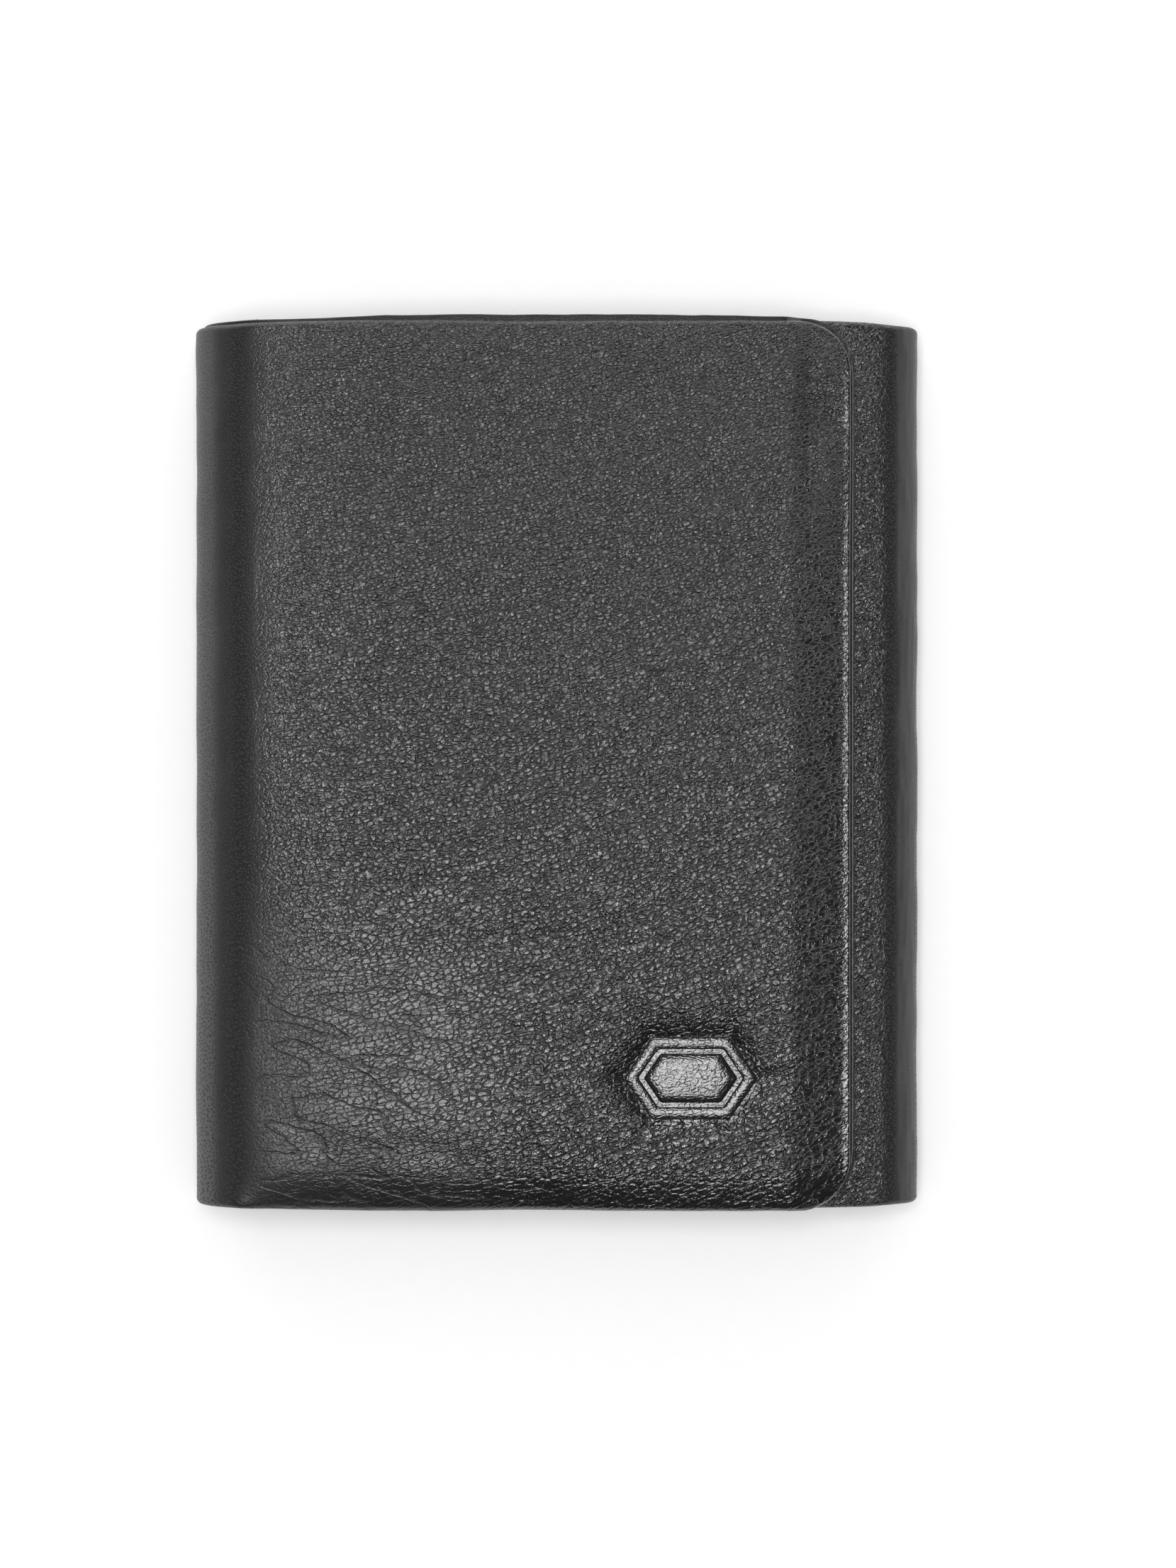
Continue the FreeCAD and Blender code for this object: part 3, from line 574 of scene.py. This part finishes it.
def make_flap_lining():
    """Lining under the flap's leather, standing proud of it at three edges."""
    rim, half = 0.00015, HALF_HEIGHT + LINING_PROUD
    rows = even_rows(-half, half, rim, 0.0012)
    x, y = flap_grid(flap_columns(False), rows * HALF_HEIGHT / half, LINING_PROUD)
    edge = flap_edge_distance(x, y * half / HALF_HEIGHT, LINING_PROUD)
    by_fold = 1 - ramp(x, FOLD_X + 0.001, FOLD_X + 0.020)
    top_gap = -0.00025 + 0.00053 * by_fold + 0.00020 * ramp(x, 0.010, 0.024)
    bottom_gap = 0.0002 * noise(x / 0.005, 0 * y, 22) * (1 - by_fold) + 0.0001 + 0.0005 * by_fold
    gap = np.where(y > 0, top_gap, bottom_gap) + 0.00005 * noise(x / 0.002, 0 * y, 23) * (1 - by_fold)
    by_corner = ramp(x, 0.0265, 0.0325)
    inwards = gap * np.clip(np.abs(y) / half, 0, 1) ** 3 * (1 - by_corner)
    outwards = 0.4 * LINING_PROUD * y / half * by_corner
    line_place, line_width, line_depth = 0.00042, 0.00007, 0.00009
    line = line_depth * np.exp(-((edge - line_place) / line_width) ** 2)
    top = lining_top(x, y) - edge_drop(edge, rim) - line
    under = lining_top(x, y) - LINING + edge_drop(edge, rim)
    y = y + outwards - np.sign(y) * inwards
    outer, inner = surface(x, y, under), surface(x, y, top)
    piece = facing_out("flap_lining_leather", outer, inner)
    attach(piece, "flap")
    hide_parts("flap_lining")
    return piece


def make_padding():
    """Thin soft board under the flap's leather, following it down beside the fold."""
    low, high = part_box("flap_padding")
    x, y = np.meshgrid(spread((low.x, high.x, 0.0008)), spread((low.y, high.y, 0.0010)), indexing="ij")
    top = np.minimum(flap_under(x, y), flap_top(x, y) - 0.0004) - 0.00002
    under = np.minimum(lining_top(x, y) + 0.00002, top - 0.0001)
    piece = facing_out("flap_padding_board", surface(x, y, top), surface(x, y, under))
    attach(piece, "flap")
    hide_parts("flap_padding")
    return piece


def plaque_ring(inset, z):
    """The plaque's outline, shrunk by an inset and with rounded corners."""
    shrink = inset / math.sin(math.atan2(PLAQUE_HALF_HEIGHT, PLAQUE_POINT))
    width = PLAQUE_HALF_WIDTH - shrink
    height = PLAQUE_HALF_HEIGHT - inset
    point = PLAQUE_POINT * height / PLAQUE_HALF_HEIGHT
    corners = [(width, 0), (width - point, height), (point - width, height),
               (-width, 0), (point - width, -height), (width - point, -height)]
    rounding = 0.00028
    ring = []
    for i, corner in enumerate(corners):
        c = np.array(corner)
        before, after = np.array(corners[i - 1]) - c, np.array(corners[(i + 1) % 6]) - c
        a = c + before / np.linalg.norm(before) * rounding
        b = c + after / np.linalg.norm(after) * rounding
        for t in np.linspace(0, 1, 5):
            p = (1 - t) ** 2 * a + 2 * t * (1 - t) * c + t * t * b
            ring.append((p[0] + PLAQUE_X, p[1] + PLAQUE_Y, z))
    return ring


def lathe_faces(rings, count):
    """Quads between rings of the same number of points, closed at both ends."""
    faces = []
    for r in range(rings - 1):
        for i in range(count):
            j = (i + 1) % count
            faces.append([r * count + i, r * count + j, (r + 1) * count + j, (r + 1) * count + i])
    faces.append(list(range(count))[::-1])
    faces.append([(rings - 1) * count + i for i in range(count)])
    return faces


def make_plaque():
    """A plain raised plaque: a hexagonal border round a panel, with nothing on it."""
    profile = (
        (0.0, -0.0010), (0.0, -0.00018), (0.00005, -0.00006), (0.00016, 0.0),
        (0.00120, 0.00002), (0.00132, -0.00004), (0.00140, -0.00042), (0.00190, -0.00042),
        (0.00198, -0.00008), (0.00210, 0.0), (0.0030, 0.00004), (0.0042, 0.00006),
    )
    points = []
    for inset, depth in profile:
        points += plaque_ring(inset, TOP - 0.00012 + depth)
    count = len(points) // len(profile)
    piece, used = make_object("plain_plaque", points, lathe_faces(len(profile), count), 35)
    put_attribute(piece, "grain", np.array(points)[used])
    put_attribute(piece, "skin", np.tile((0.2, 0.0, 0.0), (len(used), 1)))
    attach(piece, "flap")
    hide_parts("plaque_insert")
    return piece


# ------------ pockets


def notch_depth(x, centre, radius=0.009, sink=0.55):
    """Depth of the thumb notch below a pocket's mouth."""
    reach = radius ** 2 - (x - centre) ** 2
    return np.maximum(np.sqrt(np.maximum(reach, 0)) - radius * sink, 0)


def pocket_columns(left, right, rim, step, grooves=()):
    """Columns across a pocket, close together at its sides and along its stitch lines."""
    reach, fine = 0.0006, 0.0001
    cuts = [left + rim, right - rim]
    for place in grooves:
        cuts += [place - reach, place + reach]
    cuts.sort()
    spans = [(a, b, fine if b - a < 2.1 * reach else step) for a, b in zip(cuts, cuts[1:])]
    edge = rim_steps(rim, 5)[:-1]
    return np.concatenate([left + edge, spread(*spans), (right - edge)[::-1]])


def make_pocket(name, node, body, up, notch=False, stitched=False):
    """A pocket's face: a thin sheet with a turned mouth, and maybe a notch and stitch grooves."""
    low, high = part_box(node)
    rim = 0.00016
    grooves = (low.x + STITCH_INSET, high.x - STITCH_INSET) if stitched else ()
    columns = pocket_columns(low.x, high.x, rim, 0.0008, grooves)
    groove_row = (low.y + STITCH_INSET,) if stitched else ()
    share_cuts = pocket_columns(low.y, high.y, rim, 0.0012, groove_row)
    share = (share_cuts - low.y) / (high.y - low.y)
    middle = (low.x + high.x) / 2
    mouth = high.y - (notch_depth(columns, middle) if notch else 0 * columns)
    x = columns[:, None] * np.ones(len(share))
    y = low.y + (mouth - low.y)[:, None] * share
    below_mouth = mouth[:, None] - y
    edge = np.minimum(np.minimum(x - low.x, high.x - x), np.minimum(y - low.y, below_mouth))
    edge = np.maximum(edge, 0)
    turned_edge, line_width, line_depth = 0.0030, 0.00022, 0.00006
    line = line_depth * np.exp(-((below_mouth - turned_edge) / line_width) ** 2)
    face = -edge_drop(edge, rim) - line
    if stitched:
        groove_depth, groove_width = 0.00024, 0.00028
        to_line = np.minimum(np.minimum(x - low.x, high.x - x), y - low.y) - STITCH_INSET
        open_part = ramp(below_mouth, 0.0010, 0.0016)
        face -= groove_depth * np.exp(-(to_line / groove_width) ** 2) * open_part
    face += 0.00004 * noise(x / 0.009, y / 0.012, len(name))
    back = low.z - high.z + edge_drop(edge, rim)
    face = np.maximum(face, back + 0.0001)
    outer = surface(x, y, high.z + face if up else low.z - face)
    inner = surface(x, y, high.z + back if up else low.z - back)
    piece = facing_out(name, outer, inner)
    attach(piece, body)
    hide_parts(node)
    return piece


def rectangle(left, right, bottom, top, count):
    """Points round a rectangle, count to a side, from its bottom left corner."""
    t = np.linspace(0, 1, count, endpoint=False)
    across, along = left + (right - left) * t, bottom + (top - bottom) * t
    sides = ((across, np.full(count, bottom)), (np.full(count, right), along),
             (left + right - across, np.full(count, top)),
             (np.full(count, left), bottom + top - along))
    return np.concatenate([np.stack(side, -1) for side in sides])


def make_window_frame():
    """The identity pocket's leather frame: rounded inside and out, with notch and groove."""
    low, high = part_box("window_frame")
    film_low, film_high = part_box("window_film")
    margin, sides = 0.002, 60
    outside = rectangle(low.x, high.x, low.y, high.y, sides)
    mouth = outside[2 * sides:3 * sides]
    mouth[:, 1] -= notch_depth(mouth[:, 0], (low.x + high.x) / 2)
    inside = rectangle(film_low.x + margin, film_high.x - margin,
                       film_low.y + margin, film_high.y - margin, sides)
    width = inside[0, 0] - low.x

    from_edge = ((0, 0.00012), (0.00004, 0.00004), (0.00012, 0), (0.0008, 0), (0.0011, 0.00014),
                 (0.0013, 0.00022), (0.0015, 0.00014), (0.0018, 0), (0.0030, 0))
    from_window = ((0.0012, 0), (0.0010, 0.00008), (0.0008, 0), (0.00012, 0), (0.00004, 0.00004),
                   (0, 0.00012))
    rings = [(g / width, low.z + d) for g, d in from_edge]
    rings += [((width - g) / width, low.z + d) for g, d in from_window]
    rings += [(1.0, high.z), (0.0, high.z)]
    points = np.concatenate([
        np.column_stack([outside * (1 - g) + inside * g, np.full(4 * sides, z)]) for g, z in rings
    ])
    count, total = 4 * sides, len(rings)
    faces = []
    for r in range(total):
        for i in range(count):
            j, q = (i + 1) % count, (r + 1) % total
            faces.append([r * count + i, q * count + i, q * count + j, r * count + j])
    piece, used = make_object("identity_window_frame", points, faces, 50)
    put_attribute(piece, "grain", points[used])
    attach(piece, "flap")
    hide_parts("window_frame")
    return piece


def stitch_points(low, high, up):
    """Middle and direction of each stitch round three sides of a pocket."""
    marks = []
    pitch, first, sunk = 0.0032, 1.15, 0.00014
    left, right, bottom = low.x + STITCH_INSET, high.x - STITCH_INSET, low.y + STITCH_INSET
    for i in range(int((high.y - STITCH_INSET - bottom - pitch) / pitch)):
        y = bottom + pitch * (i + first)
        marks += [((left, y), (0, 1)), ((right, y), (0, 1))]
    for i in range(int((right - left - pitch) / pitch)):
        marks.append(((left + pitch * (i + first), bottom), (1, 0)))
    z = high.z - sunk if up else low.z + sunk
    return [((x, y, z), d) for (x, y), d in marks]


def make_thread(name, node, pocket, body, up):
    """Rounded, slightly slanted stitches sunk in a pocket's groove."""
    low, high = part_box(pocket)
    length, width, thick, dip, around = 0.0026, 0.00052, 0.0003, 0.00016, 8
    c, s = math.cos(math.radians(7)), math.sin(math.radians(7))
    along = np.linspace(-1, 1, 9)
    swell = np.sqrt(np.clip(1 - np.abs(along) ** 3, 0.02, 1))
    points, faces = [], []
    for (x, y, z), (dx, dy) in stitch_points(low, high, up):
        ax, ay = dx * c - dy * s, dx * s + dy * c
        base = len(points)
        for t, w in zip(along, swell):
            sink = dip * t ** 4
            for k in range(around):
                turn = 2 * math.pi * k / around
                side, up_part = math.cos(turn) * width / 2 * w, math.sin(turn) * thick / 2 * w
                lift = up_part - sink if up else sink - up_part
                points.append((x + ax * t * length / 2 - ay * side,
                               y + ay * t * length / 2 + ax * side, z + lift))
        for face in lathe_faces(len(along), around):
            faces.append([base + v for v in (face if up else face[::-1])])
    piece, used = make_object(name, points, faces, 60)
    put_attribute(piece, "grain", np.array(points)[used])
    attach(piece, body)
    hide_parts(node)
    return piece


def make_film():
    """Clear film of the identity window, very slightly wavy."""
    low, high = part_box("window_film")
    x, y = np.meshgrid(np.linspace(low.x, high.x, 60), np.linspace(low.y, high.y, 80), indexing="ij")
    inset, depth = 0.00003, 0.00005
    wave = depth * noise(x / 0.012, y / 0.015, 31)
    outer = surface(x, y, low.z + inset + np.abs(wave))
    inner = surface(x, y, high.z - inset)
    piece = facing_out("identity_window_film", outer, inner)
    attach(piece, "flap")
    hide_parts("window_film")
    return piece


# ------------ the back leaf


def make_back_leather():
    """Outer leather from the fold, across the back, round the wrapped side and turned in."""
    columns = np.concatenate([
        STRIP_END + rim_steps(RIM)[:-1],
        spread((STRIP_END + RIM, WRAP_END, 0.00042), (WRAP_END, BACK_END, 0.0004),
               (BACK_END, 0, 0.0009)),
    ])
    piece = strip_sheet("back_outer_leather", columns, leather_rows(), 0, LEATHER, True, True)
    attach(piece, "body")
    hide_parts("body_leather")
    return piece


def make_bill_lining():
    """Cloth lining of the bill pocket, laid over the board and up round the wrapped side."""
    low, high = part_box("body_lining")
    thick, depth = 0.0003, low.z
    columns = spread((WRAP_END, BACK_END, 0.0006), (BACK_END, -(low.x - FOLD_X), 0.0012))
    rows = spread((low.y, high.y, 0.0012))
    piece = strip_sheet("bill_pocket_lining", columns, rows, depth, depth + thick, False)
    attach(piece, "body")
    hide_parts("body_lining")
    return piece


def make_side_gusset():
    """Leather that rises from the fold's lining to close the bill pocket's side."""
    backing_low, backing_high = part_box("pocket_backing")
    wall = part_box("back_board")[0].x - 0.0006
    rows = spread((backing_low.y, backing_high.y, 0.0012))
    p = np.array([(FOLD_X, LEATHER), (wall - 0.0004, LEATHER), (wall - 0.0001, 0.0012),
                  (wall, 0.0016), (wall, 0.0030), (wall + 0.00012, 0.0045), (wall, 0.0062)])
    step = np.gradient(p, axis=0)
    normal = np.stack([-step[:, 1], step[:, 0]], -1) / np.linalg.norm(step, axis=1)[:, None]
    q = p + normal * LINING
    below, above = surface(p[:, :1], rows, p[:, 1:]), surface(q[:, :1], rows, q[:, 1:])
    piece = facing_out("side_gusset_leather", below, above)
    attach(piece, "body")
    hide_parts("side_gusset")
    return piece


# ------------ materials


class Nodes:
    """A material's node tree, with short calls for adding and wiring nodes."""

    def __init__(self, name):
        """Starts a material of this name with an empty tree."""
        self.material = bpy.data.materials.new(name)
        self.material.use_nodes = True
        self.tree = self.material.node_tree
        self.tree.nodes.clear()

    def add(self, kind, inputs=None, **settings):
        """Adds a node, sets its properties, and feeds each input from a socket or a number."""
        made = self.tree.nodes.new("ShaderNode" + kind)
        for key, value in settings.items():
            setattr(made, key, value)
        for key, value in (inputs or {}).items():
            if isinstance(value, bpy.types.NodeSocket):
                self.tree.links.new(value, made.inputs[key])
            else:
                made.inputs[key].default_value = value
        return made

    def attribute(self, name):
        """A vector stored with the points of the mesh."""
        return self.add("Attribute", attribute_name=name).outputs["Vector"]

    def place(self):
        """Position in the object's own coordinates."""
        return self.add("TexCoord").outputs["Object"]

    def math(self, operation, a, b=0.0, c=0.0):
        """Output of one math node."""
        return self.add("Math", {0: a, 1: b, 2: c}, operation=operation).outputs[0]

    def product(self, a, b, plus=0.0):
        """Product of two values, with a third one added."""
        return self.math("MULTIPLY_ADD", a, b, plus)

    def vector(self, operation, a, b):
        """Output of one vector math node."""
        return self.add("VectorMath", {0: a, 1: b}, operation=operation).outputs[0]

    def scaled(self, vector, *size):
        """A vector divided by a size along x and y, and along z where a third one is given."""
        return self.vector("MULTIPLY", vector, [1 / n for n in (*size, 1)[:3]])

    def step(self, value, low, high, start=0.0, end=1.0):
        """A smooth step of a value between two limits."""
        inputs = {"Value": value, "From Min": low, "From Max": high, "To Min": start, "To Max": end}
        return self.add("MapRange", inputs, interpolation_type="SMOOTHSTEP").outputs["Result"]

    def mix(self, factor, dark, light):
        """A colour between two colours."""
        made = self.add("Mix", {"Factor": factor}, data_type="RGBA")
        made.inputs[6].default_value = (*dark, 1)
        made.inputs[7].default_value = (*light, 1)
        return made.outputs[2]

    def noise(self, vector, detail=2.0, roughness=0.5):
        """Value of a noise texture at scale 1."""
        inputs = {"Vector": vector, "Scale": 1.0, "Detail": detail, "Roughness": roughness}
        return self.add("TexNoise", inputs).outputs["Fac"]

    def cells(self, vector, feature, randomness=1.0):
        """Distance output of a flat Voronoi texture at scale 1."""
        inputs = {"Vector": vector, "Scale": 1.0, "Randomness": randomness}
        made = self.add("TexVoronoi", inputs, feature=feature, voronoi_dimensions="2D")
        return made.outputs["Distance"]

    def finish(self, colour, roughness, height, **constants):
        """Ends in a Principled shader: height is in metres, constants go on its own sockets."""
        bump = self.add("Bump", {"Height": height, "Strength": 1.0, "Distance": 1.0})
        inputs = {"Base Color": colour, "Roughness": roughness, "Normal": bump.outputs[0]}
        shader = self.add("BsdfPrincipled", inputs)
        for key, value in constants.items():
            shader.inputs[key.replace("_", " ")].default_value = value
        self.add("OutputMaterial", {"Surface": shader.outputs[0]})
        return self.material


def outer_leather():
    """Milled black leather: crinkled pebbles, pull lines, and pores on the smooth folds."""
    n = Nodes("outer_leather")
    grain = n.attribute("grain")
    skin = n.add("SeparateXYZ", {0: n.attribute("skin")})
    pebble, coarse, smooth = skin.outputs
    inputs = {"Vector": n.scaled(grain, 0.00070, 0.00055), "Scale": 1.0, "Detail": 1.0}
    shift = n.add("TexNoise", inputs).outputs["Color"]
    shift = n.vector("SUBTRACT", shift, (0.5, 0.5, 0.5))

    def shifted(vector, size, amount):
        """A vector divided by a size, then moved about so that patterns on it look irregular."""
        moved = n.vector("MULTIPLY", shift, (amount, amount, 0))
        return n.vector("ADD", n.scaled(vector, *size), moved)

    def crease_lines(vector, size, width):
        """Thin wandering lines: 1 along each line and 0 elsewhere."""
        field = n.noise(shifted(vector, size, 0.10), 1.0, 0.4)
        away = n.math("ABSOLUTE", n.math("SUBTRACT", field, 0.5))
        return n.step(away, 0.0, width, 1.0, 0.0)

    cells = shifted(grain, (0.00078, 0.00050), 0.9)
    width = n.product(coarse, -0.12, 0.26)
    distance = n.math("DIVIDE", n.cells(cells, "DISTANCE_TO_EDGE"), width)
    valley = n.math("SUBTRACT", 1.0, n.step(distance, 0.0, 1.0))
    patchy = n.step(n.noise(n.scaled(grain, 0.0016, 0.0008), 2.0), 0.30, 0.60, 0.35, 1.0)
    small = n.noise(n.scaled(grain, 0.00024, 0.00019), 1.0, 0.45)
    crumple = n.noise(shifted(grain, (0.00040, 0.00028), 0.5), 1.0, 0.5)
    crumple = n.math("ABSOLUTE", n.math("SUBTRACT", crumple, 0.5))
    pull = crease_lines(grain, (0.0042, 0.0010), 0.050)
    turned = n.add("VectorRotate", {"Vector": grain, "Angle": 0.48}, rotation_type="Z_AXIS").outputs[0]
    slanted = crease_lines(turned, (0.0085, 0.0026), 0.026)
    pore = n.step(n.cells(n.scaled(grain, 0.00046, 0.00040), "F1", 0.8), 0.12, 0.30)

    crinkled = n.product(pebble, n.product(coarse, -0.40, 1.0))
    valleys = n.product(valley, n.product(patchy, crinkled))
    lines = n.math("MAXIMUM", n.product(pull, n.product(crinkled, 0.8)),
                   n.product(slanted, coarse))
    height = n.product(valleys, -0.000080)
    height = n.product(lines, -0.000055, height)
    height = n.product(n.product(crumple, crinkled), 0.00012, height)
    height = n.product(small, n.product(crinkled, 0.000056, 0.000010), height)
    height = n.product(n.product(pore, smooth), 0.000022, height)

    pits = n.product(n.math("SUBTRACT", 1.0, pore), smooth)
    # Grain valleys, pull lines and pore pits get a darker colour: painted shade in the leather's
    # hollows.
    shade = n.math("MAXIMUM", n.math("MAXIMUM", valleys, lines), pits)
    colour = n.mix(shade, (0.0062, 0.0060, 0.0059), (0.0025, 0.0025, 0.0025))
    roughness = n.product(shade, 0.14, n.product(smooth, 0.18, 0.22))
    roughness = n.product(pits, 0.30, n.product(coarse, 0.12, roughness))
    return n.finish(colour, roughness, height, Specular_IOR_Level=0.9)


def smooth_leather(name, colour, grain_size, relief_height, roughness):
    """Thin leather with a fine even grain, for linings and pockets."""
    n = Nodes(name)
    grain = n.attribute("grain")
    cells = n.scaled(grain, grain_size, grain_size * 0.8)
    cell = n.step(n.cells(cells, "DISTANCE_TO_EDGE"), 0.0, 0.25)
    soft = n.noise(n.scaled(grain, 0.004, 0.003), 3.0)
    fine = n.noise(n.scaled(grain, 0.0002, 0.0002), 2.0)
    height = n.product(cell, relief_height, n.product(fine, relief_height / 2))
    # The colour is darker in the grooves between grain cells, as painted shade, and varies at random
    # with the soft noise.
    dark = tuple(c * 0.3 for c in colour)
    shade = n.product(cell, 0.7, n.product(soft, 0.3))
    rough = n.product(soft, 0.12, roughness)
    return n.finish(n.mix(shade, dark, colour), rough, height)


def object_leather(name, colour, roughness):
    """The same kind of leather for CAD pieces, laid out by their own positions."""
    n = Nodes(name)
    place = n.place()
    inputs = {"Vector": n.scaled(place, 0.0005, 0.0005, 0.0005), "Scale": 1.0}
    cell = n.add("TexVoronoi", inputs, feature="DISTANCE_TO_EDGE").outputs["Distance"]
    height = n.product(n.step(cell, 0.0, 0.25), 0.000012)
    soft = n.noise(n.scaled(place, 0.003, 0.003, 0.003), 3.0)
    colour = n.mix(soft, tuple(c * 0.6 for c in colour), colour)
    return n.finish(colour, n.product(soft, 0.12, roughness), height)


def woven_cloth():
    """Fine black lining cloth with a plain weave and a faint sheen."""
    n = Nodes("lining_cloth")
    grain = n.add("SeparateXYZ", {0: n.attribute("grain")})
    pitch = 2 * math.pi / 0.0005
    warp = n.math("SINE", n.product(grain.outputs[0], pitch))
    weft = n.math("SINE", n.product(grain.outputs[1], pitch))
    weave = n.product(warp, weft)
    height = n.product(weave, 0.00002)
    # The colour follows the weave's height, darker in its hollows and lighter on its raised crossings:
    # painted shade and light.
    colour = n.mix(n.step(weave, -1, 1), (0.008, 0.008, 0.010), (0.028, 0.028, 0.032))
    return n.finish(colour, 0.75, height, Sheen_Weight=0.3, Sheen_Roughness=0.4)


def bonded_board():
    """Brown bonded-leather board with pressed fibres."""
    n = Nodes("bonded_board")
    place = n.place()
    fibre = n.noise(n.scaled(place, 0.0012, 0.0003, 0.0003), 4.0, 0.6)
    colour = n.mix(fibre, (0.05, 0.035, 0.025), (0.16, 0.12, 0.09))
    return n.finish(colour, 0.8, n.product(fibre, 0.00003))


def waxed_thread():
    """Black twisted thread."""
    n = Nodes("waxed_thread")
    grain = n.attribute("grain")
    parts = n.add("SeparateXYZ", {0: grain})
    slant = n.math("ADD", parts.outputs[0], parts.outputs[1])
    twist = n.math("SINE", n.product(slant, 2 * math.pi / 0.00035))
    # The colour follows the twist's height, darker in its grooves and lighter on its ridges: painted
    # shade and light.
    colour = n.mix(n.step(twist, -1, 1), (0.016, 0.016, 0.017), (0.060, 0.060, 0.062))
    return n.finish(colour, 0.5, n.product(twist, 0.00002), Sheen_Weight=0.15)


def clear_film():
    """Clear glossy plastic with faint scuffs."""
    n = Nodes("clear_film")
    place = n.place()
    scuff = n.noise(n.scaled(place, 0.006, 0.0007, 0.001), 4.0, 0.65)
    rough = n.step(scuff, 0.45, 0.8, 0.06, 0.22)
    height = n.product(n.noise(n.scaled(place, 0.012, 0.012, 0.012)), 0.00003)
    colour = n.mix(scuff, (0.030, 0.032, 0.034), (0.075, 0.078, 0.080))
    return n.finish(colour, rough, height, Alpha=0.35, IOR=1.46, Specular_IOR_Level=1.0)


def paper_floor():
    """Plain white studio floor with the faintest tooth."""
    n = Nodes("studio_floor")
    place = n.place()
    tooth = n.noise(n.scaled(place, 0.002, 0.002, 0.002), 2.0)
    colour = n.mix(tooth, (0.93, 0.93, 0.93), (0.95, 0.95, 0.95))
    return n.finish(colour, 0.95, n.product(tooth, 0.000004), Specular_IOR_Level=0.1)


def paint(material, *pieces):
    """Gives each piece one material."""
    for piece in pieces:
        piece.data.materials.clear()
        piece.data.materials.append(material)


# ------------ floor, light and camera


def add_floor():
    """A plain pale floor just under the wallet."""
    reach, below = 4.0, 0.00002
    corners = ((-reach, -reach), (reach, -reach), (reach, reach), (-reach, reach))
    points = [(x, y, -below) for x, y in corners]
    floor, _ = make_object("studio_floor", points, [[0, 1, 2, 3]])
    paint(paper_floor(), floor)


def add_light(name, place, target, size, radiance):
    """A rectangular soft light of a given brightness, aimed at a point."""
    data = bpy.data.lights.new(name, "AREA")
    data.shape = "RECTANGLE"
    data.size, data.size_y = size
    data.energy = radiance * math.pi * size[0] * size[1]
    lamp = bpy.data.objects.new(name, data)
    bpy.context.scene.collection.objects.link(lamp)
    lamp.location = place
    lamp.visible_camera = False
    aim = Vector(target) - Vector(place)
    lamp.rotation_euler = aim.to_track_quat("-Z", "Y").to_euler()
    return lamp


def light_scene():
    """A soft box overhead, low bright panels on three sides, and a dim room."""
    panel_width, panel_radiance = 1.8, 3.0
    add_light("soft_box", (-0.04, 0.02, 1.0), (-0.04, 0.02, 0), (0.34, 0.54), 11.3)
    for name, x, y, height in (("left", -1, 0, 0.12), ("right", 1, 0, 0.12), ("rear", 0, 1, 0.40)):
        size = (panel_width, height)
        add_light(name + "_panel", (x, y, height / 2), (0, 0, 0.02), size, panel_radiance)
    fill = add_light("high_fill", (0, 0, 1.4), (0, 0, 0), (5, 5), 0.50)
    fill.visible_glossy = False
    world = bpy.data.worlds.new("room")
    world.use_nodes = True
    sky = world.node_tree.nodes["Background"].inputs
    sky["Color"].default_value = (1, 1, 1, 1)
    sky["Strength"].default_value = 0.055
    bpy.context.scene.world = world
    bpy.context.scene.view_settings.view_transform = "Standard"


def add_camera():
    """Straight above the wallet, a little to the right of and below its middle."""
    data = bpy.data.cameras.new("camera")
    data.lens = 86.8
    data.sensor_width = 36
    data.clip_start = 0.01
    camera = bpy.data.objects.new("camera", data)
    bpy.context.scene.collection.objects.link(camera)
    camera.location = (0.0035, -0.0024, TOP + 0.430)
    bpy.context.scene.camera = camera


# ------------ the whole wallet

black_leather = outer_leather()
lining_leather = smooth_leather("lining_leather", (0.022, 0.021, 0.021), 0.0005, 0.000008, 0.30)
pocket_leather = smooth_leather("pocket_leather", (0.030, 0.029, 0.029), 0.0008, 0.000055, 0.34)
plain_leather = object_leather("edge_leather", (0.020, 0.020, 0.020), 0.5)

outer_fold = fold_pieces("fold_outer_leather", 0.0, LEATHER, True, 3)
inner_fold = fold_pieces("fold_lining_leather", LEATHER, LINING, False, 4)
for i, place in enumerate(("lower", "middle", "upper")):
    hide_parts("fold_leather_" + place)
    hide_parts("fold_lining_" + place)

paint(black_leather, *outer_fold, make_back_leather(), make_flap_leather(), make_plaque())
paint(lining_leather, *inner_fold, make_flap_lining(), make_side_gusset())
paint(woven_cloth(), make_bill_lining())
paint(
    pocket_leather,
    make_pocket("card_pocket_rear_face", "card_pocket_rear", "body", True),
    make_pocket("card_pocket_middle_face", "card_pocket_middle", "body", True),
    make_pocket("card_pocket_front_face", "card_pocket_front", "body", True, True, True),
    make_pocket("slip_pocket_face", "slip_pocket", "flap", False),
    make_window_frame(),
)
paint(
    waxed_thread(),
    make_thread("card_pocket_thread", "body_stitches", "card_pocket_front", "body", True),
    make_thread("window_frame_thread", "flap_stitches", "window_frame", "flap", False),
)
paint(clear_film(), make_film())
paint(bonded_board(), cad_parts["back_board"], make_padding())
for node in ("bottom_gusset", "pocket_backing", "wrap_welt", "card_pocket_welts", "flap_pocket_welts"):
    paint(plain_leather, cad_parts[node])

add_floor()
light_scene()
add_camera()
